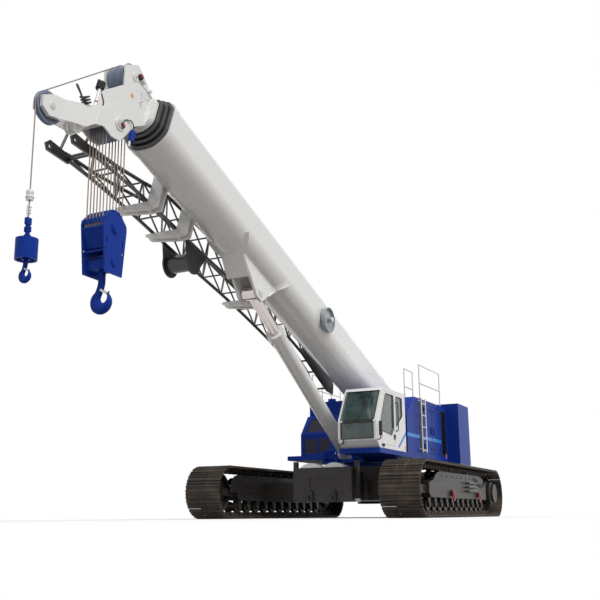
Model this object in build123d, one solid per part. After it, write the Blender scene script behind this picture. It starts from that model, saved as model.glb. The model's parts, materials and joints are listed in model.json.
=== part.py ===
from build123d import *
from math import cos, floor, hypot, pi, radians, sin
import os

# Telescopic-boom crawler crane, in millimetres.
# +X is forward, +Y is left, +Z is up; the origin is on the ground under the slewing axis.
os.makedirs("parts", exist_ok=True)

# ---------------------------------------------------------------- driving dimensions
# crawler tracks
TRACK_GAUGE = 4820            # centre of one track to the centre of the other
SHOE_WIDTH = 914
SHOE_PITCH = 216
SHOE_COUNT = 72
SHOE_PLATE = 22
GROUSER = 36                  # height of a grouser bar, three to a shoe
LINK_HEIGHT = 105             # height of the chain links
WHEEL_END_RADIUS = 620        # wheel centre to the grousers' tips
IDLER_X = 3150
RAIL_IN, RAIL_OUT = 65, 135   # the two chain rails, from the track's middle
ROLLER_RADIUS = 125
ROLLER_COUNT = 11
CARRIER_RADIUS = 90
FRAME_HALF = 290              # half width of a track frame
# carbody
BODY_TOP = 1180
BODY_BOTTOM = 420
BODY_HALF_X, BODY_HALF_Y = 1350, 1100
BEAM_X, BEAM_WIDTH, BEAM_HEIGHT = 1080, 400, 430
SLAB_X, SLAB_THICK, SLAB_HALF_Y, SLAB_BOTTOM, SLAB_TOP = 1955, 345, 750, 370, 1170
RING_RADIUS, RING_BORE, RING_HEIGHT = 850, 640, 80
# superstructure
DECK_BOTTOM, DECK_TOP = 1450, 1560
DECK_HALF = 1594
DECK_FRONT = 920
CAB_DECK_FRONT = 2620
TAIL_X = -2795                # rear faces of the housings
PLATE_IN, PLATE_THICK = 500, 60
HOUSING_IN = 620
HOUSING_TOP = 3020
HOUSING_FRONT = 660
SHELL = 40
DOOR_THICK = 30
KNUCKLE = 10                  # radius of a door hinge
WEIGHT_BACK, WEIGHT_HALF, WEIGHT_TOP, WEIGHT_BOTTOM = -3900, 1950, 3130, 1440
# cab
CAB_IN, CAB_OUT, CAB_BACK, CAB_TOP = 640, 1580, 740, 2985
CAB_WALL = 45
GLASS = 8
# boom, in its own frame: s forward along the boom, n square to it, from the foot pin
FOOT_X, FOOT_Z = -2680, 2558
BOOM_ANGLE = 18.8
AXIS_RISE = 100               # the tubes' middle line above the foot pin
FOOT_PIN = 90
BASE_BACK, BASE_FRONT = 450, 12890
BASE_HALF_WIDTH, BASE_HALF_HEIGHT = 450, 500
SECTIONS = 5
STEP_WIDTH, STEP_HEIGHT = 44, 46
TUBE_WALL = 12
COLLAR_PITCH, COLLAR_LENGTH = 85, 72
LIFT_S, LIFT_N = 8660, -740   # top pin of the lift cylinder
LIFT_X, LIFT_Z = 750, 1585    # its foot pin
BARREL_RADIUS, ROD_RADIUS = 180, 120
BORE_RADIUS = 150
BARREL_LENGTH = 4620
PISTON_START, PISTON_LENGTH = 860, 110
# hoists
MAIN_S, MAIN_N = 13820, -700
MAIN_FALLS, SHEAVE_HALF = 6, 32
AUX_S, AUX_N = 15080, -1440
TOP_S, TOP_N = 13800, 390
MAIN_SHEAVE, AUX_SHEAVE, TOP_SHEAVE = 255, 260, 250
ROPE = 11
HEAD_HALF, CHEEK = 222, 26    # half width over the head's cheeks, and their thickness
BLOCK_PIN_Z, BLOCK_HALF_Y = 4540, 224
BLOCK_LOW, BLOCK_TOP = 3790, 4860
SOCKET_TOP, SOCKET_PIN_Z = 4235, 4085
BALL_RADIUS, BALL_LOW, BALL_TOP = 160, 3610, 3920
GROOVE = 30                   # depth of a sheave's groove
DRUM_X, DRUM_ZS = -3450, {"main": 2050, "aux": 2650}
DRUM_SHAFT = 70
REEL_S, REEL_N, REEL_PIN = 6000, 60, 40
# clearances
RUN = 0.5                     # running fit at pins and bearings
SEAT = 0.3                    # between pieces that rest on each other
GAP = 6                       # between pieces that move past each other


# ---------------------------------------------------------------- small makers
def block(x0, x1, y0, y1, z0, z1):
    """A box between two corners."""
    return Pos((x0 + x1) / 2, (y0 + y1) / 2, (z0 + z1) / 2) * Box(abs(x1 - x0), abs(y1 - y0), abs(z1 - z0))


def sheet(points, y0, y1):
    """An upright plate: an outline in X and Z, from y0 to y1."""
    low, high = min(y0, y1), max(y0, y1)
    face = Plane.XZ.offset(-high) * make_face(Polyline(*points, close=True))
    return extrude(face, high - low)


def slab(points, z0, z1):
    """A level plate: an outline in X and Y, from z0 to z1."""
    return extrude(Plane.XY.offset(z0) * make_face(Polyline(*points, close=True)), z1 - z0)


def across(x, z, radius, y0, y1):
    """A round bar along Y."""
    return Pos(x, (y0 + y1) / 2, z) * Rot(90, 0, 0) * Cylinder(radius, abs(y1 - y0))


def upright(x, y, radius, z0, z1):
    """A round bar along Z."""
    return Pos(x, y, (z0 + z1) / 2) * Cylinder(radius, z1 - z0)


def bar(start, end, radius):
    """A round bar from one point to another."""
    a, b = Vector(*start), Vector(*end)
    return Plane(origin=a, z_dir=b - a) * Pos(0, 0, (b - a).length / 2) * Cylinder(radius, (b - a).length)


def strut(start, end, radius, sides=6):
    """A many-sided tube of the lattice from one point to another."""
    a, b = Vector(*start), Vector(*end)
    return Plane(origin=a, z_dir=b - a) * extrude(RegularPolygon(radius, sides), (b - a).length)


def turned(rows, x, y, z):
    """A wheel about Y: rows of (radius, distance from the middle plane)."""
    face = make_face(Plane.XY * Polyline(*rows, close=True))
    return Pos(x, y, z) * revolve(face, Axis.Y)


def turned_recess(x, z, radius, inner, depth):
    """A ring cut upwards into a round bottom, with a sloping outer wall."""
    rows = [(inner, -1), (radius, -1), (radius - 0.6 * depth, depth), (inner, depth)]
    return Pos(x, 0, z) * revolve(Plane.XZ * make_face(Polyline(*rows, close=True)), Axis.Z)


def fused(pieces):
    """The union of a list of solids."""
    pieces = list(pieces)
    return pieces[0] + pieces[1:] if len(pieces) > 1 else pieces[0]


def apart(pieces):
    """Pieces of one node that don't touch."""
    return Compound(children=[solid for piece in pieces for solid in piece.solids()])


def hinge_half(edge, towards, face_y, z0, z1):
    """Leaf and knuckle of one half of a door hinge, on the outer face of a wall."""
    leaf = block(edge, edge + towards * 50, face_y - 1, face_y + 7, z0, z1)
    return leaf + upright(edge, face_y + KNUCKLE + SEAT, KNUCKLE, z0, z1)


def save(name, shape):
    """Writes one node."""
    solids = shape.solids()
    shape = solids[0] if len(solids) == 1 else Compound(children=list(solids))
    shape.label = name
    export_step(shape, f"parts/{name}.step")


# the boom's frame at rest
BOOM = Pos(FOOT_X, 0, FOOT_Z) * Rot(0, -BOOM_ANGLE, 0)


def on_boom(s, n):
    """X and Z of a point given along and square to the boom."""
    a = radians(BOOM_ANGLE)
    return FOOT_X + s * cos(a) - n * sin(a), FOOT_Z + s * sin(a) + n * cos(a)


# ---------------------------------------------------------------- crawler tracks
PITCH_RADIUS = WHEEL_END_RADIUS - GROUSER - SHOE_PLATE - LINK_HEIGHT / 2
WHEELBASE = (SHOE_COUNT * SHOE_PITCH - 2 * pi * PITCH_RADIUS) / 2
SPROCKET_X = IDLER_X - WHEELBASE
RAIL_RADIUS = PITCH_RADIUS - LINK_HEIGHT / 2
BAND_RADIUS = PITCH_RADIUS + LINK_HEIGHT / 2
TRACK_Y = TRACK_GAUGE / 2


def on_track(distance):
    """Point and heading of the pitch line, from the top of the sprocket forward."""
    arc = pi * PITCH_RADIUS
    distance %= 2 * (WHEELBASE + arc)
    if distance < WHEELBASE:
        return SPROCKET_X + distance, WHEEL_END_RADIUS + PITCH_RADIUS, 0
    distance -= WHEELBASE
    if distance < arc:
        a = distance / PITCH_RADIUS
        return IDLER_X + PITCH_RADIUS * sin(a), WHEEL_END_RADIUS + PITCH_RADIUS * cos(a), -a
    distance -= arc
    if distance < WHEELBASE:
        return IDLER_X - distance, WHEEL_END_RADIUS - PITCH_RADIUS, -pi
    a = (distance - WHEELBASE) / PITCH_RADIUS
    return SPROCKET_X - PITCH_RADIUS * sin(a), WHEEL_END_RADIUS - PITCH_RADIUS * cos(a), -pi - a


def shoe_outline():
    """The loop's outer outline: three grousers to a shoe."""
    plate, tip = LINK_HEIGHT / 2 + SHOE_PLATE, LINK_HEIGHT / 2 + SHOE_PLATE + GROUSER
    third = SHOE_PITCH / 3
    # along the shoe, height above the pitch line
    teeth = [(-100, plate), (-third, tip), (-third / 2, plate), (0, tip),
             (third / 2, plate), (third, tip), (100, plate)]
    points = []
    for k in range(SHOE_COUNT):
        x, z, a = on_track((k + 0.5) * SHOE_PITCH)
        points += [(x + u * cos(a) - h * sin(a), z + u * sin(a) + h * cos(a)) for u, h in teeth]
    return points


def ring_face(radius):
    """A stadium round both wheels, in the XZ plane."""
    outline = SlotCenterToCenter(WHEELBASE, 2 * radius)
    return Pos((IDLER_X + SPROCKET_X) / 2, 0, WHEEL_END_RADIUS) * Rot(90, 0, 0) * outline


def track():
    """Shoes and both chain rails as one loop, about the plane Y = 0."""
    half = SHOE_WIDTH / 2
    loop = sheet(shoe_outline(), -half, half)
    loop -= Pos(0, half + 1, 0) * extrude(ring_face(BAND_RADIUS), SHOE_WIDTH + 2)
    for side in (-1, 1):
        far = RAIL_OUT if side > 0 else -RAIL_IN
        rail = ring_face(BAND_RADIUS) - ring_face(RAIL_RADIUS)
        loop += Pos(0, far, 0) * extrude(rail, RAIL_OUT - RAIL_IN)
    return loop


def idler():
    """Front wheel: two treads on the rails and a flange between them."""
    tread = RAIL_RADIUS - SEAT
    # radius, distance from the middle plane
    rows = [(60, -150), (60, 150), (150, 150), (150, 60), (tread - 70, 60), (tread - 70, RAIL_OUT - 2),
            (tread, RAIL_OUT - 2), (tread, 56), (tread + 45, 50), (tread + 45, -50), (tread, -56),
            (tread, 2 - RAIL_OUT), (tread - 70, 2 - RAIL_OUT), (tread - 70, -60), (150, -60), (150, -150)]
    return turned(rows, IDLER_X, 0, WHEEL_END_RADIUS)


def sprocket():
    """Toothed drive wheel between the rails, on its hub."""
    teeth = round(2 * pi * PITCH_RADIUS / SHOE_PITCH * 2)
    points = []
    for k in range(teeth):
        for share, radius in ((-0.3, 470), (-0.15, 512), (0.15, 512), (0.3, 470)):
            a = 2 * pi * (k + share) / teeth
            points.append((radius * cos(a), radius * sin(a)))
    wheel = sheet(points, -50, 50) + across(0, 0, 300, -RAIL_OUT, RAIL_OUT)
    return Pos(SPROCKET_X, 0, WHEEL_END_RADIUS) * wheel


def roller(x, z, radius):
    """Track roller with two treads and outer flanges."""
    rows = [(30, -215), (30, 215), (60, 215), (60, 165), (radius + 22, 160), (radius + 22, RAIL_OUT + 4),
            (radius, RAIL_OUT + 2), (radius, RAIL_IN - 8), (radius - 25, RAIL_IN - 14),
            (radius - 25, 14 - RAIL_IN), (radius, 8 - RAIL_IN), (radius, -RAIL_OUT - 2),
            (radius + 22, -RAIL_OUT - 4), (radius + 22, -160), (60, -165), (60, -215)]
    return turned([(0 if r == 30 else r, y) for r, y in rows], x, 0, z)


ROLLER_Z = WHEEL_END_RADIUS - RAIL_RADIUS + SEAT + ROLLER_RADIUS
CARRIER_Z = WHEEL_END_RADIUS + RAIL_RADIUS - SEAT - CARRIER_RADIUS
ROLLER_XS = [2330 - k * (2330 + 2230) / (ROLLER_COUNT - 1) for k in range(ROLLER_COUNT)]
CARRIER_XS = (1300, -1100)
FRAME_TOP = 850


def track_frame():
    """Box frame with roller brackets, idler yoke and final-drive seat, about the plane Y = 0."""
    outline = [(-2420, 440), (2480, 440), (2590, 540), (2590, 760), (2300, 820), (1700, FRAME_TOP),
               (-1900, FRAME_TOP), (-2420, 800)]
    frame = sheet(outline, -FRAME_HALF, FRAME_HALF)
    for side in (-1, 1):
        yoke = [(2400, 520), (IDLER_X + 110, 540), (IDLER_X + 110, 700), (2400, 730)]
        frame += sheet(yoke, side * 155, side * 205)
        plate = [(-2300, 470), (-2300, 790), (SPROCKET_X, 880), (SPROCKET_X - 200, 620), (SPROCKET_X, 380)]
        frame += sheet(plate, side * 155, side * 205)
        for x in ROLLER_XS:
            lug = sheet([(x - 90, 460), (x - 80, ROLLER_Z), (x + 80, ROLLER_Z), (x + 90, 460)],
                        side * 175, side * 205)
            frame += lug - across(x, ROLLER_Z, 60 + SEAT, side * 170, side * 210)
        for x in CARRIER_XS:
            lug = sheet([(x - 100, FRAME_TOP - 20), (x - 80, CARRIER_Z), (x + 80, CARRIER_Z), (x + 100, FRAME_TOP - 20)],
                        side * 175, side * 205)
            frame += lug - across(x, CARRIER_Z, 60 + SEAT, side * 170, side * 210)
    frame -= across(IDLER_X, WHEEL_END_RADIUS, 60 + SEAT, -210, 210)
    frame -= across(SPROCKET_X, WHEEL_END_RADIUS, 200 + SEAT, -210, 210)
    return frame


def axle_and_drive(side):
    """Idler axle, and the final drive that stands out beyond the sprocket."""
    axle = across(IDLER_X, WHEEL_END_RADIUS, 60 - SEAT, -230, 230)
    rows = [(0, -180), (200, -180), (200, 210), (310, 210), (310, 300), (250, 330), (250, 390), (0, 390)]
    rows = [(r, side * y) for r, y in rows]
    drive = turned(rows, SPROCKET_X, 0, WHEEL_END_RADIUS)
    return axle, drive - across(SPROCKET_X, WHEEL_END_RADIUS, 300 + SEAT, -RAIL_OUT - SEAT, RAIL_OUT + SEAT)


for name, side in (("left", 1), ("right", -1)):
    place = Pos(0, side * TRACK_Y, 0)
    save(f"track_{name}", place * track())
    frame = track_frame()
    # three step bars and two towing eyes on the outer face
    for z in (620, 720, 820):
        for x in (-1150, -400):
            frame += block(x - 15, x + 15, side * FRAME_HALF, side * (FRAME_HALF + 90), z - 15, z + 15)
        frame += block(-1200, -350, side * (FRAME_HALF + 60), side * (FRAME_HALF + 110), z - 15, z + 15)
    for x in (900, -1500):
        eye = across(x, 560, 70, side * FRAME_HALF, side * (FRAME_HALF + 40))
        frame += eye - across(x, 560, 35, side * FRAME_HALF, side * (FRAME_HALF + 40))
    save(f"track_frame_{name}", place * frame)
    wheels = [idler(), sprocket() - across(SPROCKET_X, WHEEL_END_RADIUS, 200 + SEAT, -200, 200)]
    wheels += [roller(x, ROLLER_Z, ROLLER_RADIUS) for x in ROLLER_XS]
    wheels += [roller(x, CARRIER_Z, CARRIER_RADIUS) for x in CARRIER_XS]
    save(f"track_wheels_{name}", place * apart(wheels))
    axle, drive = axle_and_drive(side)
    save(f"final_drive_{name}", place * apart([axle, drive]))

# ---------------------------------------------------------------- carbody
corner = 420
plan = [(BODY_HALF_X, BODY_HALF_Y - corner), (BODY_HALF_X - corner, BODY_HALF_Y),
        (corner - BODY_HALF_X, BODY_HALF_Y), (-BODY_HALF_X, BODY_HALF_Y - corner),
        (-BODY_HALF_X, corner - BODY_HALF_Y), (corner - BODY_HALF_X, -BODY_HALF_Y),
        (BODY_HALF_X - corner, -BODY_HALF_Y), (BODY_HALF_X, corner - BODY_HALF_Y)]
carbody = slab(plan, BODY_BOTTOM, BODY_TOP)
for side in (-1, 1):
    carbody += block(side * (BODY_HALF_X - 50), side * (SLAB_X - SEAT), -620, 620, 430, 1100)
frame_face = TRACK_Y - FRAME_HALF - SEAT
for x in (-BEAM_X, BEAM_X):
    carbody += block(x - BEAM_WIDTH / 2, x + BEAM_WIDTH / 2, -frame_face, frame_face, 450, 450 + BEAM_HEIGHT)
carbody += upright(0, 0, RING_RADIUS, BODY_TOP - 5, BODY_TOP + RING_HEIGHT)
carbody -= upright(0, 0, RING_BORE, BODY_TOP, BODY_TOP + RING_HEIGHT)
save("carbody", carbody)


def end_weight(front):
    """Ballast box across one end of the carbody, with a recess, corner posts and two arched covers."""
    out = SLAB_X + SLAB_THICK
    body = block(SLAB_X, out, -SLAB_HALF_Y, SLAB_HALF_Y, SLAB_BOTTOM, SLAB_TOP)
    body -= block(out - 25, out + 1, -330, 250, 700, 930)
    for y in (-SLAB_HALF_Y - 45, SLAB_HALF_Y + 45):
        body += block(SLAB_X + 40, SLAB_X + 150, y - 46, y + 46, SLAB_BOTTOM, 1330)
    return body if front else mirror(body, Plane.YZ)


def arched_covers():
    """Two low arched covers on top of the front ballast box."""
    radius, rise = 420, 110
    covers = []
    for y in (-300, 300):
        arch = Pos(SLAB_X + SLAB_THICK / 2, y, SLAB_TOP + SEAT + rise - radius) * Rot(0, 90, 0) * Cylinder(radius, 300)
        covers += (arch & block(SLAB_X, SLAB_X + SLAB_THICK, y - 285, y + 285, SLAB_TOP + SEAT, 1400)).solids()
    return apart(covers)


save("carbody_weights", apart([end_weight(True), end_weight(False)]))
save("arched_covers", arched_covers())

# ---------------------------------------------------------------- superstructure frame
ring_low = BODY_TOP + RING_HEIGHT + RUN
plates = [(1050, 1340), (1050, 1640), (500, 1720), (-300, 1850), (-1800, 2250), (-2400, 2790),
          (-2950, 2790), (-3150, 2930), (-3740, 2930), (-3740, 1340)]
frame = upright(0, 0, RING_RADIUS, ring_low, 1345) - upright(0, 0, RING_BORE, ring_low - 1, 1340)
frame += block(-3740, 1050, -PLATE_IN - PLATE_THICK, PLATE_IN + PLATE_THICK, 1340, 1385)
for side in (-1, 1):
    frame += sheet(plates, side * PLATE_IN, side * (PLATE_IN + PLATE_THICK))
    lug = sheet([(560, 1380), (940, 1380), (850, 1740), (650, 1740)], side * 190, side * 250)
    frame += lug
    frame += block(TAIL_X, DECK_FRONT, side * (PLATE_IN + PLATE_THICK - 1), side * DECK_HALF, DECK_BOTTOM, DECK_TOP)
    frame += block(DECK_FRONT - 60, DECK_FRONT, side * 250, side * PLATE_IN, DECK_BOTTOM, DECK_TOP)
frame += block(DECK_FRONT - 1, CAB_DECK_FRONT, PLATE_IN + 100, DECK_HALF, DECK_BOTTOM, DECK_TOP)
frame += sheet([(DECK_FRONT - 1, 1345), (1400, DECK_BOTTOM + 1), (DECK_FRONT - 1, DECK_BOTTOM + 1)], 600, 1500)
frame -= across(FOOT_X, FOOT_Z, FOOT_PIN + RUN, -700, 700)
frame -= across(LIFT_X, LIFT_Z, 70 + RUN, -300, 300)
for z in DRUM_ZS.values():
    frame -= across(DRUM_X, z, DRUM_SHAFT + RUN, -700, 700)
save("upper_frame", frame)

# ---------------------------------------------------------------- left housing, its doors and the engine
FLOOR = DECK_TOP + SEAT


def left_housing_outline(inset):
    return [(HOUSING_FRONT - inset, FLOOR), (HOUSING_FRONT - inset, 2520 - inset / 2),
            (-10 - inset / 2, HOUSING_TOP - inset), (TAIL_X + inset, HOUSING_TOP - inset), (TAIL_X + inset, FLOOR)]


# front end, rear end and hinge end of each door
DOORS = {"front": (-700, -1420, -700), "rear": (-1426, -2150, -2150)}
DOOR_LOW, DOOR_HIGH = 1640, 2900
GRILLE = (-2230, -2730)
housing = sheet(left_housing_outline(0), HOUSING_IN, DECK_HALF)
housing -= sheet([(x, z - (1 if z == FLOOR else 0)) for x, z in left_housing_outline(SHELL)],
                 HOUSING_IN + SHELL, DECK_HALF - SHELL)
housing -= block(DOORS["rear"][1], DOORS["front"][0], DECK_HALF - SHELL - 1, DECK_HALF + 1, DOOR_LOW, DOOR_HIGH)
housing -= block(GRILLE[1], GRILLE[0], DECK_HALF - SHELL - 1, DECK_HALF + 1, DOOR_LOW, DOOR_HIGH)
for name, (front, rear, hinge) in DOORS.items():
    door = block(rear + GAP, front - GAP, DECK_HALF - DOOR_THICK, DECK_HALF, DOOR_LOW + GAP, DOOR_HIGH - GAP)
    handle_x = front - 120 if hinge == rear else rear + 120
    door += block(handle_x - 15, handle_x + 15, DECK_HALF, DECK_HALF + 25, 2150, 2330)
    inward = -1 if hinge == front else 1
    edge = hinge + inward * GAP
    for z in (DOOR_LOW + 150, DOOR_HIGH - 150):
        door += hinge_half(edge, inward, DECK_HALF, z - 50, z + 50)
        housing += hinge_half(edge, -inward, DECK_HALF, z + 50 + SEAT, z + 80)
    save(f"engine_door_{name}", door)
save("engine_housing", housing)
louvres = []
middle = (GRILLE[0] + GRILLE[1]) / 2
width = (GRILLE[0] - GRILLE[1]) / 2 - SEAT
grille = block(middle - width, middle + width, DECK_HALF - SHELL, DECK_HALF, DOOR_LOW + SEAT, DOOR_HIGH - SEAT)
grille -= block(middle - width + 35, middle + width - 35, DECK_HALF - SHELL - 1, DECK_HALF + 1,
                DOOR_LOW + 35, DOOR_HIGH - 35)
for k in range(16):
    z = DOOR_LOW + 75 + k * (DOOR_HIGH - DOOR_LOW - 150) / 15
    slat = [(0, 0), (30, 30), (30, 36), (0, 6)]
    face = Plane(origin=(middle, DECK_HALF - 36, z - 18), x_dir=(0, 1, 0), z_dir=(1, 0, 0))
    grille += extrude(face * make_face(Polyline(*slat, close=True)), width - 34, both=True)
save("engine_grille", grille)
save("engine_block", block(-2300, -700, HOUSING_IN + 100, DECK_HALF - 194, FLOOR, 2500))

# ---------------------------------------------------------------- right housing
HOOD_FRONT, HOOD_BACK = (110, 2180), (-350, 2710)    # foot and head of the hood's slope: x, z
RIGHT_TOP = 3110
right = [(110, FLOOR), HOOD_FRONT, HOOD_BACK, (-480, 2710), (-480, RIGHT_TOP), (TAIL_X, RIGHT_TOP), (TAIL_X, FLOOR)]
cooler = sheet(right, -DECK_HALF, -HOUSING_IN)
run, rise = HOOD_FRONT[0] - HOOD_BACK[0], HOOD_BACK[1] - HOOD_FRONT[1]
slope = Plane(origin=(HOOD_BACK[0] + run / 2, -(DECK_HALF + HOUSING_IN) / 2, HOOD_FRONT[1] + rise / 2),
              x_dir=(0, 1, 0), z_dir=(rise, 0, run))
SLOPE_WIDE, SLOPE_LONG, RECESS = 700, 520, 30
cooler -= slope * Box(SLOPE_WIDE, SLOPE_LONG, 2 * RECESS)
mesh_spots = [(-1480, -1130), (-1080, -730)]
for y0, y1 in mesh_spots:
    cooler -= block(90, 120, y0, y1, 1660, 2060)
cooler += upright(-900, -1100, 110, RIGHT_TOP - 5, 3230)
save("cooler_housing", cooler)
screen = slope * Pos(0, 0, 7 + SEAT - RECESS) * Box(SLOPE_WIDE - 2 * SEAT, SLOPE_LONG - 2 * SEAT, 14)
for k in range(-8, 9):
    screen -= slope * Pos(k * 40, 0, 14 - RECESS) * Box(18, SLOPE_LONG - 60, 12)
meshes = screen.solids()
for y0, y1 in mesh_spots:
    panel = block(91, 104, y0 + SEAT, y1 - SEAT, 1660 + SEAT, 2060 - SEAT)
    for k in range(1, 10):
        y = y0 + k * (y1 - y0) / 10
        panel -= block(97, 105, y - 9, y + 9, 1690, 2030)
    meshes += panel.solids()
save("cooler_mesh", apart(meshes))

# ---------------------------------------------------------------- counterweight and winches
weight = block(WEIGHT_BACK, WEIGHT_BACK + 120, -640, 640, WEIGHT_BOTTOM, 1760)
for side in (-1, 1):
    weight += block(WEIGHT_BACK, TAIL_X - SEAT, side * (HOUSING_IN + 5), side * WEIGHT_HALF, WEIGHT_BOTTOM, WEIGHT_TOP)
save("counterweight", weight)
for name, z in DRUM_ZS.items():
    end = PLATE_IN + PLATE_THICK + 15
    rows = [(0, -end), (DRUM_SHAFT, -end), (DRUM_SHAFT, -430), (270, -430), (270, -400), (200, -400),
            (200, 400), (270, 400), (270, 430), (DRUM_SHAFT, 430), (DRUM_SHAFT, end), (0, end)]
    save(f"{name}_winch_drum", turned(rows, DRUM_X, 0, z))

# ---------------------------------------------------------------- cab
CAB_FLOOR = FLOOR


def cab_outline(inset):
    return [(CAB_BACK + inset, CAB_FLOOR + inset), (2560 - inset, CAB_FLOOR + inset), (2780 - inset, 1730),
            (2780 - inset, 2160), (2330 - inset, 2900), (2230 - inset, CAB_TOP - inset),
            (CAB_BACK + inset, CAB_TOP - inset)]


DOOR_OUTLINE = [(1500, 1650), (2400, 1650), (2600, 1930), (2560, 2200), (2220, 2850), (2150, 2910), (1500, 2910)]
DOOR_WINDOW = [(1590, 2080), (1760, 1900), (2460, 1960), (2480, 2190), (2150, 2800), (2100, 2850), (1590, 2850)]
REAR_WINDOW = [(980, 2420), (1400, 2130), (1400, 2850), (980, 2850)]


def shrunk(points, by):
    """An outline moved inwards by a distance."""
    face = make_face(Polyline(*points, close=True))
    return offset(face, -by)


def side_panel(face, y0, y1):
    return extrude(Plane.XZ.offset(-y1) * face, y1 - y0)


cab = sheet(cab_outline(0), CAB_IN, CAB_OUT) - sheet(cab_outline(CAB_WALL), CAB_IN + CAB_WALL, CAB_OUT - CAB_WALL)
cab -= sheet(DOOR_OUTLINE, CAB_OUT - CAB_WALL - 1, CAB_OUT + 1)
cab -= sheet(REAR_WINDOW, CAB_OUT - CAB_WALL - 1, CAB_OUT + 1)
right_window = [(980, 2200), (2400, 2000), (2520, 2200), (2200, 2800), (980, 2850)]
cab -= sheet(right_window, CAB_IN - 1, CAB_IN + CAB_WALL + 1)
side_in, side_out = CAB_IN + 70, CAB_OUT - 70
cab -= sheet([(2600, 1760), (2900, 1760), (2900, 2130), (2600, 2130)], side_in, side_out)
cab -= sheet([(2600, 2200), (2900, 2200), (2500, 2900), (2150, 2900)], side_in, side_out)
cab -= block(CAB_BACK - 1, CAB_BACK + CAB_WALL + 1, side_in, side_out, 2200, 2850)
door_edge = DOOR_OUTLINE[0][0] + GAP
for z in (1850, 2700):
    cab += hinge_half(door_edge, -1, CAB_OUT, z + 50 + SEAT, z + 80)
save("cab_shell", cab)
panes = []
panes += side_panel(shrunk(REAR_WINDOW, SEAT), CAB_OUT - 20, CAB_OUT - 20 + GLASS).solids()
panes += side_panel(shrunk(right_window, SEAT), CAB_IN + 12, CAB_IN + 12 + GLASS).solids()
panes += block(2780 - 20, 2780 - 20 + GLASS, side_in + SEAT, side_out - SEAT, 1760 + SEAT, 2130 - SEAT).solids()
slope = [(2735, 2203), (2744, 2203), (2744 - 425, 2899), (2735 - 425, 2899)]
panes += sheet(slope, side_in + SEAT, side_out - SEAT).solids()
panes += block(CAB_BACK + 12, CAB_BACK + 12 + GLASS, side_in + SEAT, side_out - SEAT, 2200 + SEAT, 2850 - SEAT).solids()
save("cab_glass", apart(panes))
door_face = shrunk(DOOR_OUTLINE, GAP) - make_face(Polyline(*DOOR_WINDOW, close=True))
cab_door = side_panel(door_face, CAB_OUT - CAB_WALL, CAB_OUT)
cab_door += block(2440, 2470, CAB_OUT, CAB_OUT + 40, 1780, 1900)
for z in (1850, 2700):
    cab_door += hinge_half(door_edge, 1, CAB_OUT, z - 50, z + 50)
save("cab_door", cab_door)
save("cab_door_glass", side_panel(shrunk(DOOR_WINDOW, SEAT), CAB_OUT - 24, CAB_OUT - 24 + GLASS))
seat = block(1080, 1560, 880, 1340, CAB_FLOOR + CAB_WALL + SEAT, 1980)
seat += sheet([(1080, 1975), (1560, 1975), (1560, 2060), (1230, 2060), (1110, 2640), (1000, 2640), (1060, 1975)],
              880, 1340)
save("operator_seat", seat)
console = block(1700, 2050, 700, 800, CAB_FLOOR + CAB_WALL + SEAT, 2080)
console += bar((1800, 750, 2070), (1830, 750, 2230), 14) + Pos(1830, 750, 2240) * Sphere(30)
console += block(2050, 2120, 690, 820, 2100, 2320) + block(2040, 2080, 740, 780, 2000, 2150)
save("cab_console", console)

# ---------------------------------------------------------------- ladder and handrails
RAIL = 17
ladder = []
for x in (-640, -300):
    ladder.append(bar((x, DECK_HALF + 80, 1620), (x, DECK_HALF + 80, 3020), RAIL))
for z in (1670, 1970, 2270, 2570, 2870):
    ladder.append(bar((-640, DECK_HALF + 80, z), (-300, DECK_HALF + 80, z), RAIL - 3))
for x in (-640, -300):
    for z in (1700, 2950):
        ladder.append(bar((x, DECK_HALF + SEAT, z), (x, DECK_HALF + 80, z), RAIL - 4))
save("ladder", fused(ladder))


def guard_rail(y, top, xs, height, middle_height):
    """Posts along X with a top rail and a middle rail."""
    pieces = [bar((x, y, top + SEAT), (x, y, top + height), RAIL) for x in xs]
    pieces += [bar((xs[0] - RAIL, y, top + h), (xs[-1] + RAIL, y, top + h), RAIL - 1) for h in (middle_height, height)]
    return fused(pieces)


POSTS = (-2560, -1900, -1250, -600)
rails = [guard_rail(1550, HOUSING_TOP, (-2400, -600), 920, 430), guard_rail(1000, HOUSING_TOP, (-1700, -1000), 920, 430),
         guard_rail(-1550, RIGHT_TOP, POSTS, 800, 400)]
save("handrails", apart(rails))

# ---------------------------------------------------------------- boom tubes
def tube_face(half_width, half_height):
    """A boom section square to its length: flat top, deep rounded bottom."""
    low, high = min(0.86 * half_width, half_height), 0.44 * half_width
    outline = RectangleRounded(2 * half_width, 2 * half_height, high)
    cup = Pos(0, low - half_height) * Rectangle(2 * half_width, 2 * half_height, align=(Align.CENTER, Align.MIN))
    for side in (-1, 1):
        cup += Pos(side * (half_width - low), low - half_height) * Circle(low)
    cup += Pos(0, -half_height + low / 2) * Rectangle(2 * (half_width - low) + 2, low)
    return outline & cup


def tube(half_width, half_height, s0, s1):
    """A solid length of boom section in the boom's frame."""
    face = Plane(origin=(s0, 0, AXIS_RISE), x_dir=(0, 1, 0), z_dir=(1, 0, 0)) * tube_face(half_width, half_height)
    return extrude(face, s1 - s0)


def hollow(half_width, half_height, s0, s1, wall):
    return tube(half_width, half_height, s0, s1) - tube(half_width - wall, half_height - wall, s0 - 1, s1 + 1)


def section_size(k):
    return BASE_HALF_WIDTH - k * STEP_WIDTH, BASE_HALF_HEIGHT - k * STEP_HEIGHT


def wear_ring(k, front):
    """Pads in the mouth of section k, on which the next section slides."""
    wide, tall = section_size(k)
    next_wide, next_tall = section_size(k + 1)
    outer = tube(wide - TUBE_WALL + 1, tall - TUBE_WALL + 1, front - COLLAR_LENGTH, front - 12)
    return outer - tube(next_wide + SEAT, next_tall + SEAT, front - 200, front + 1)


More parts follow.
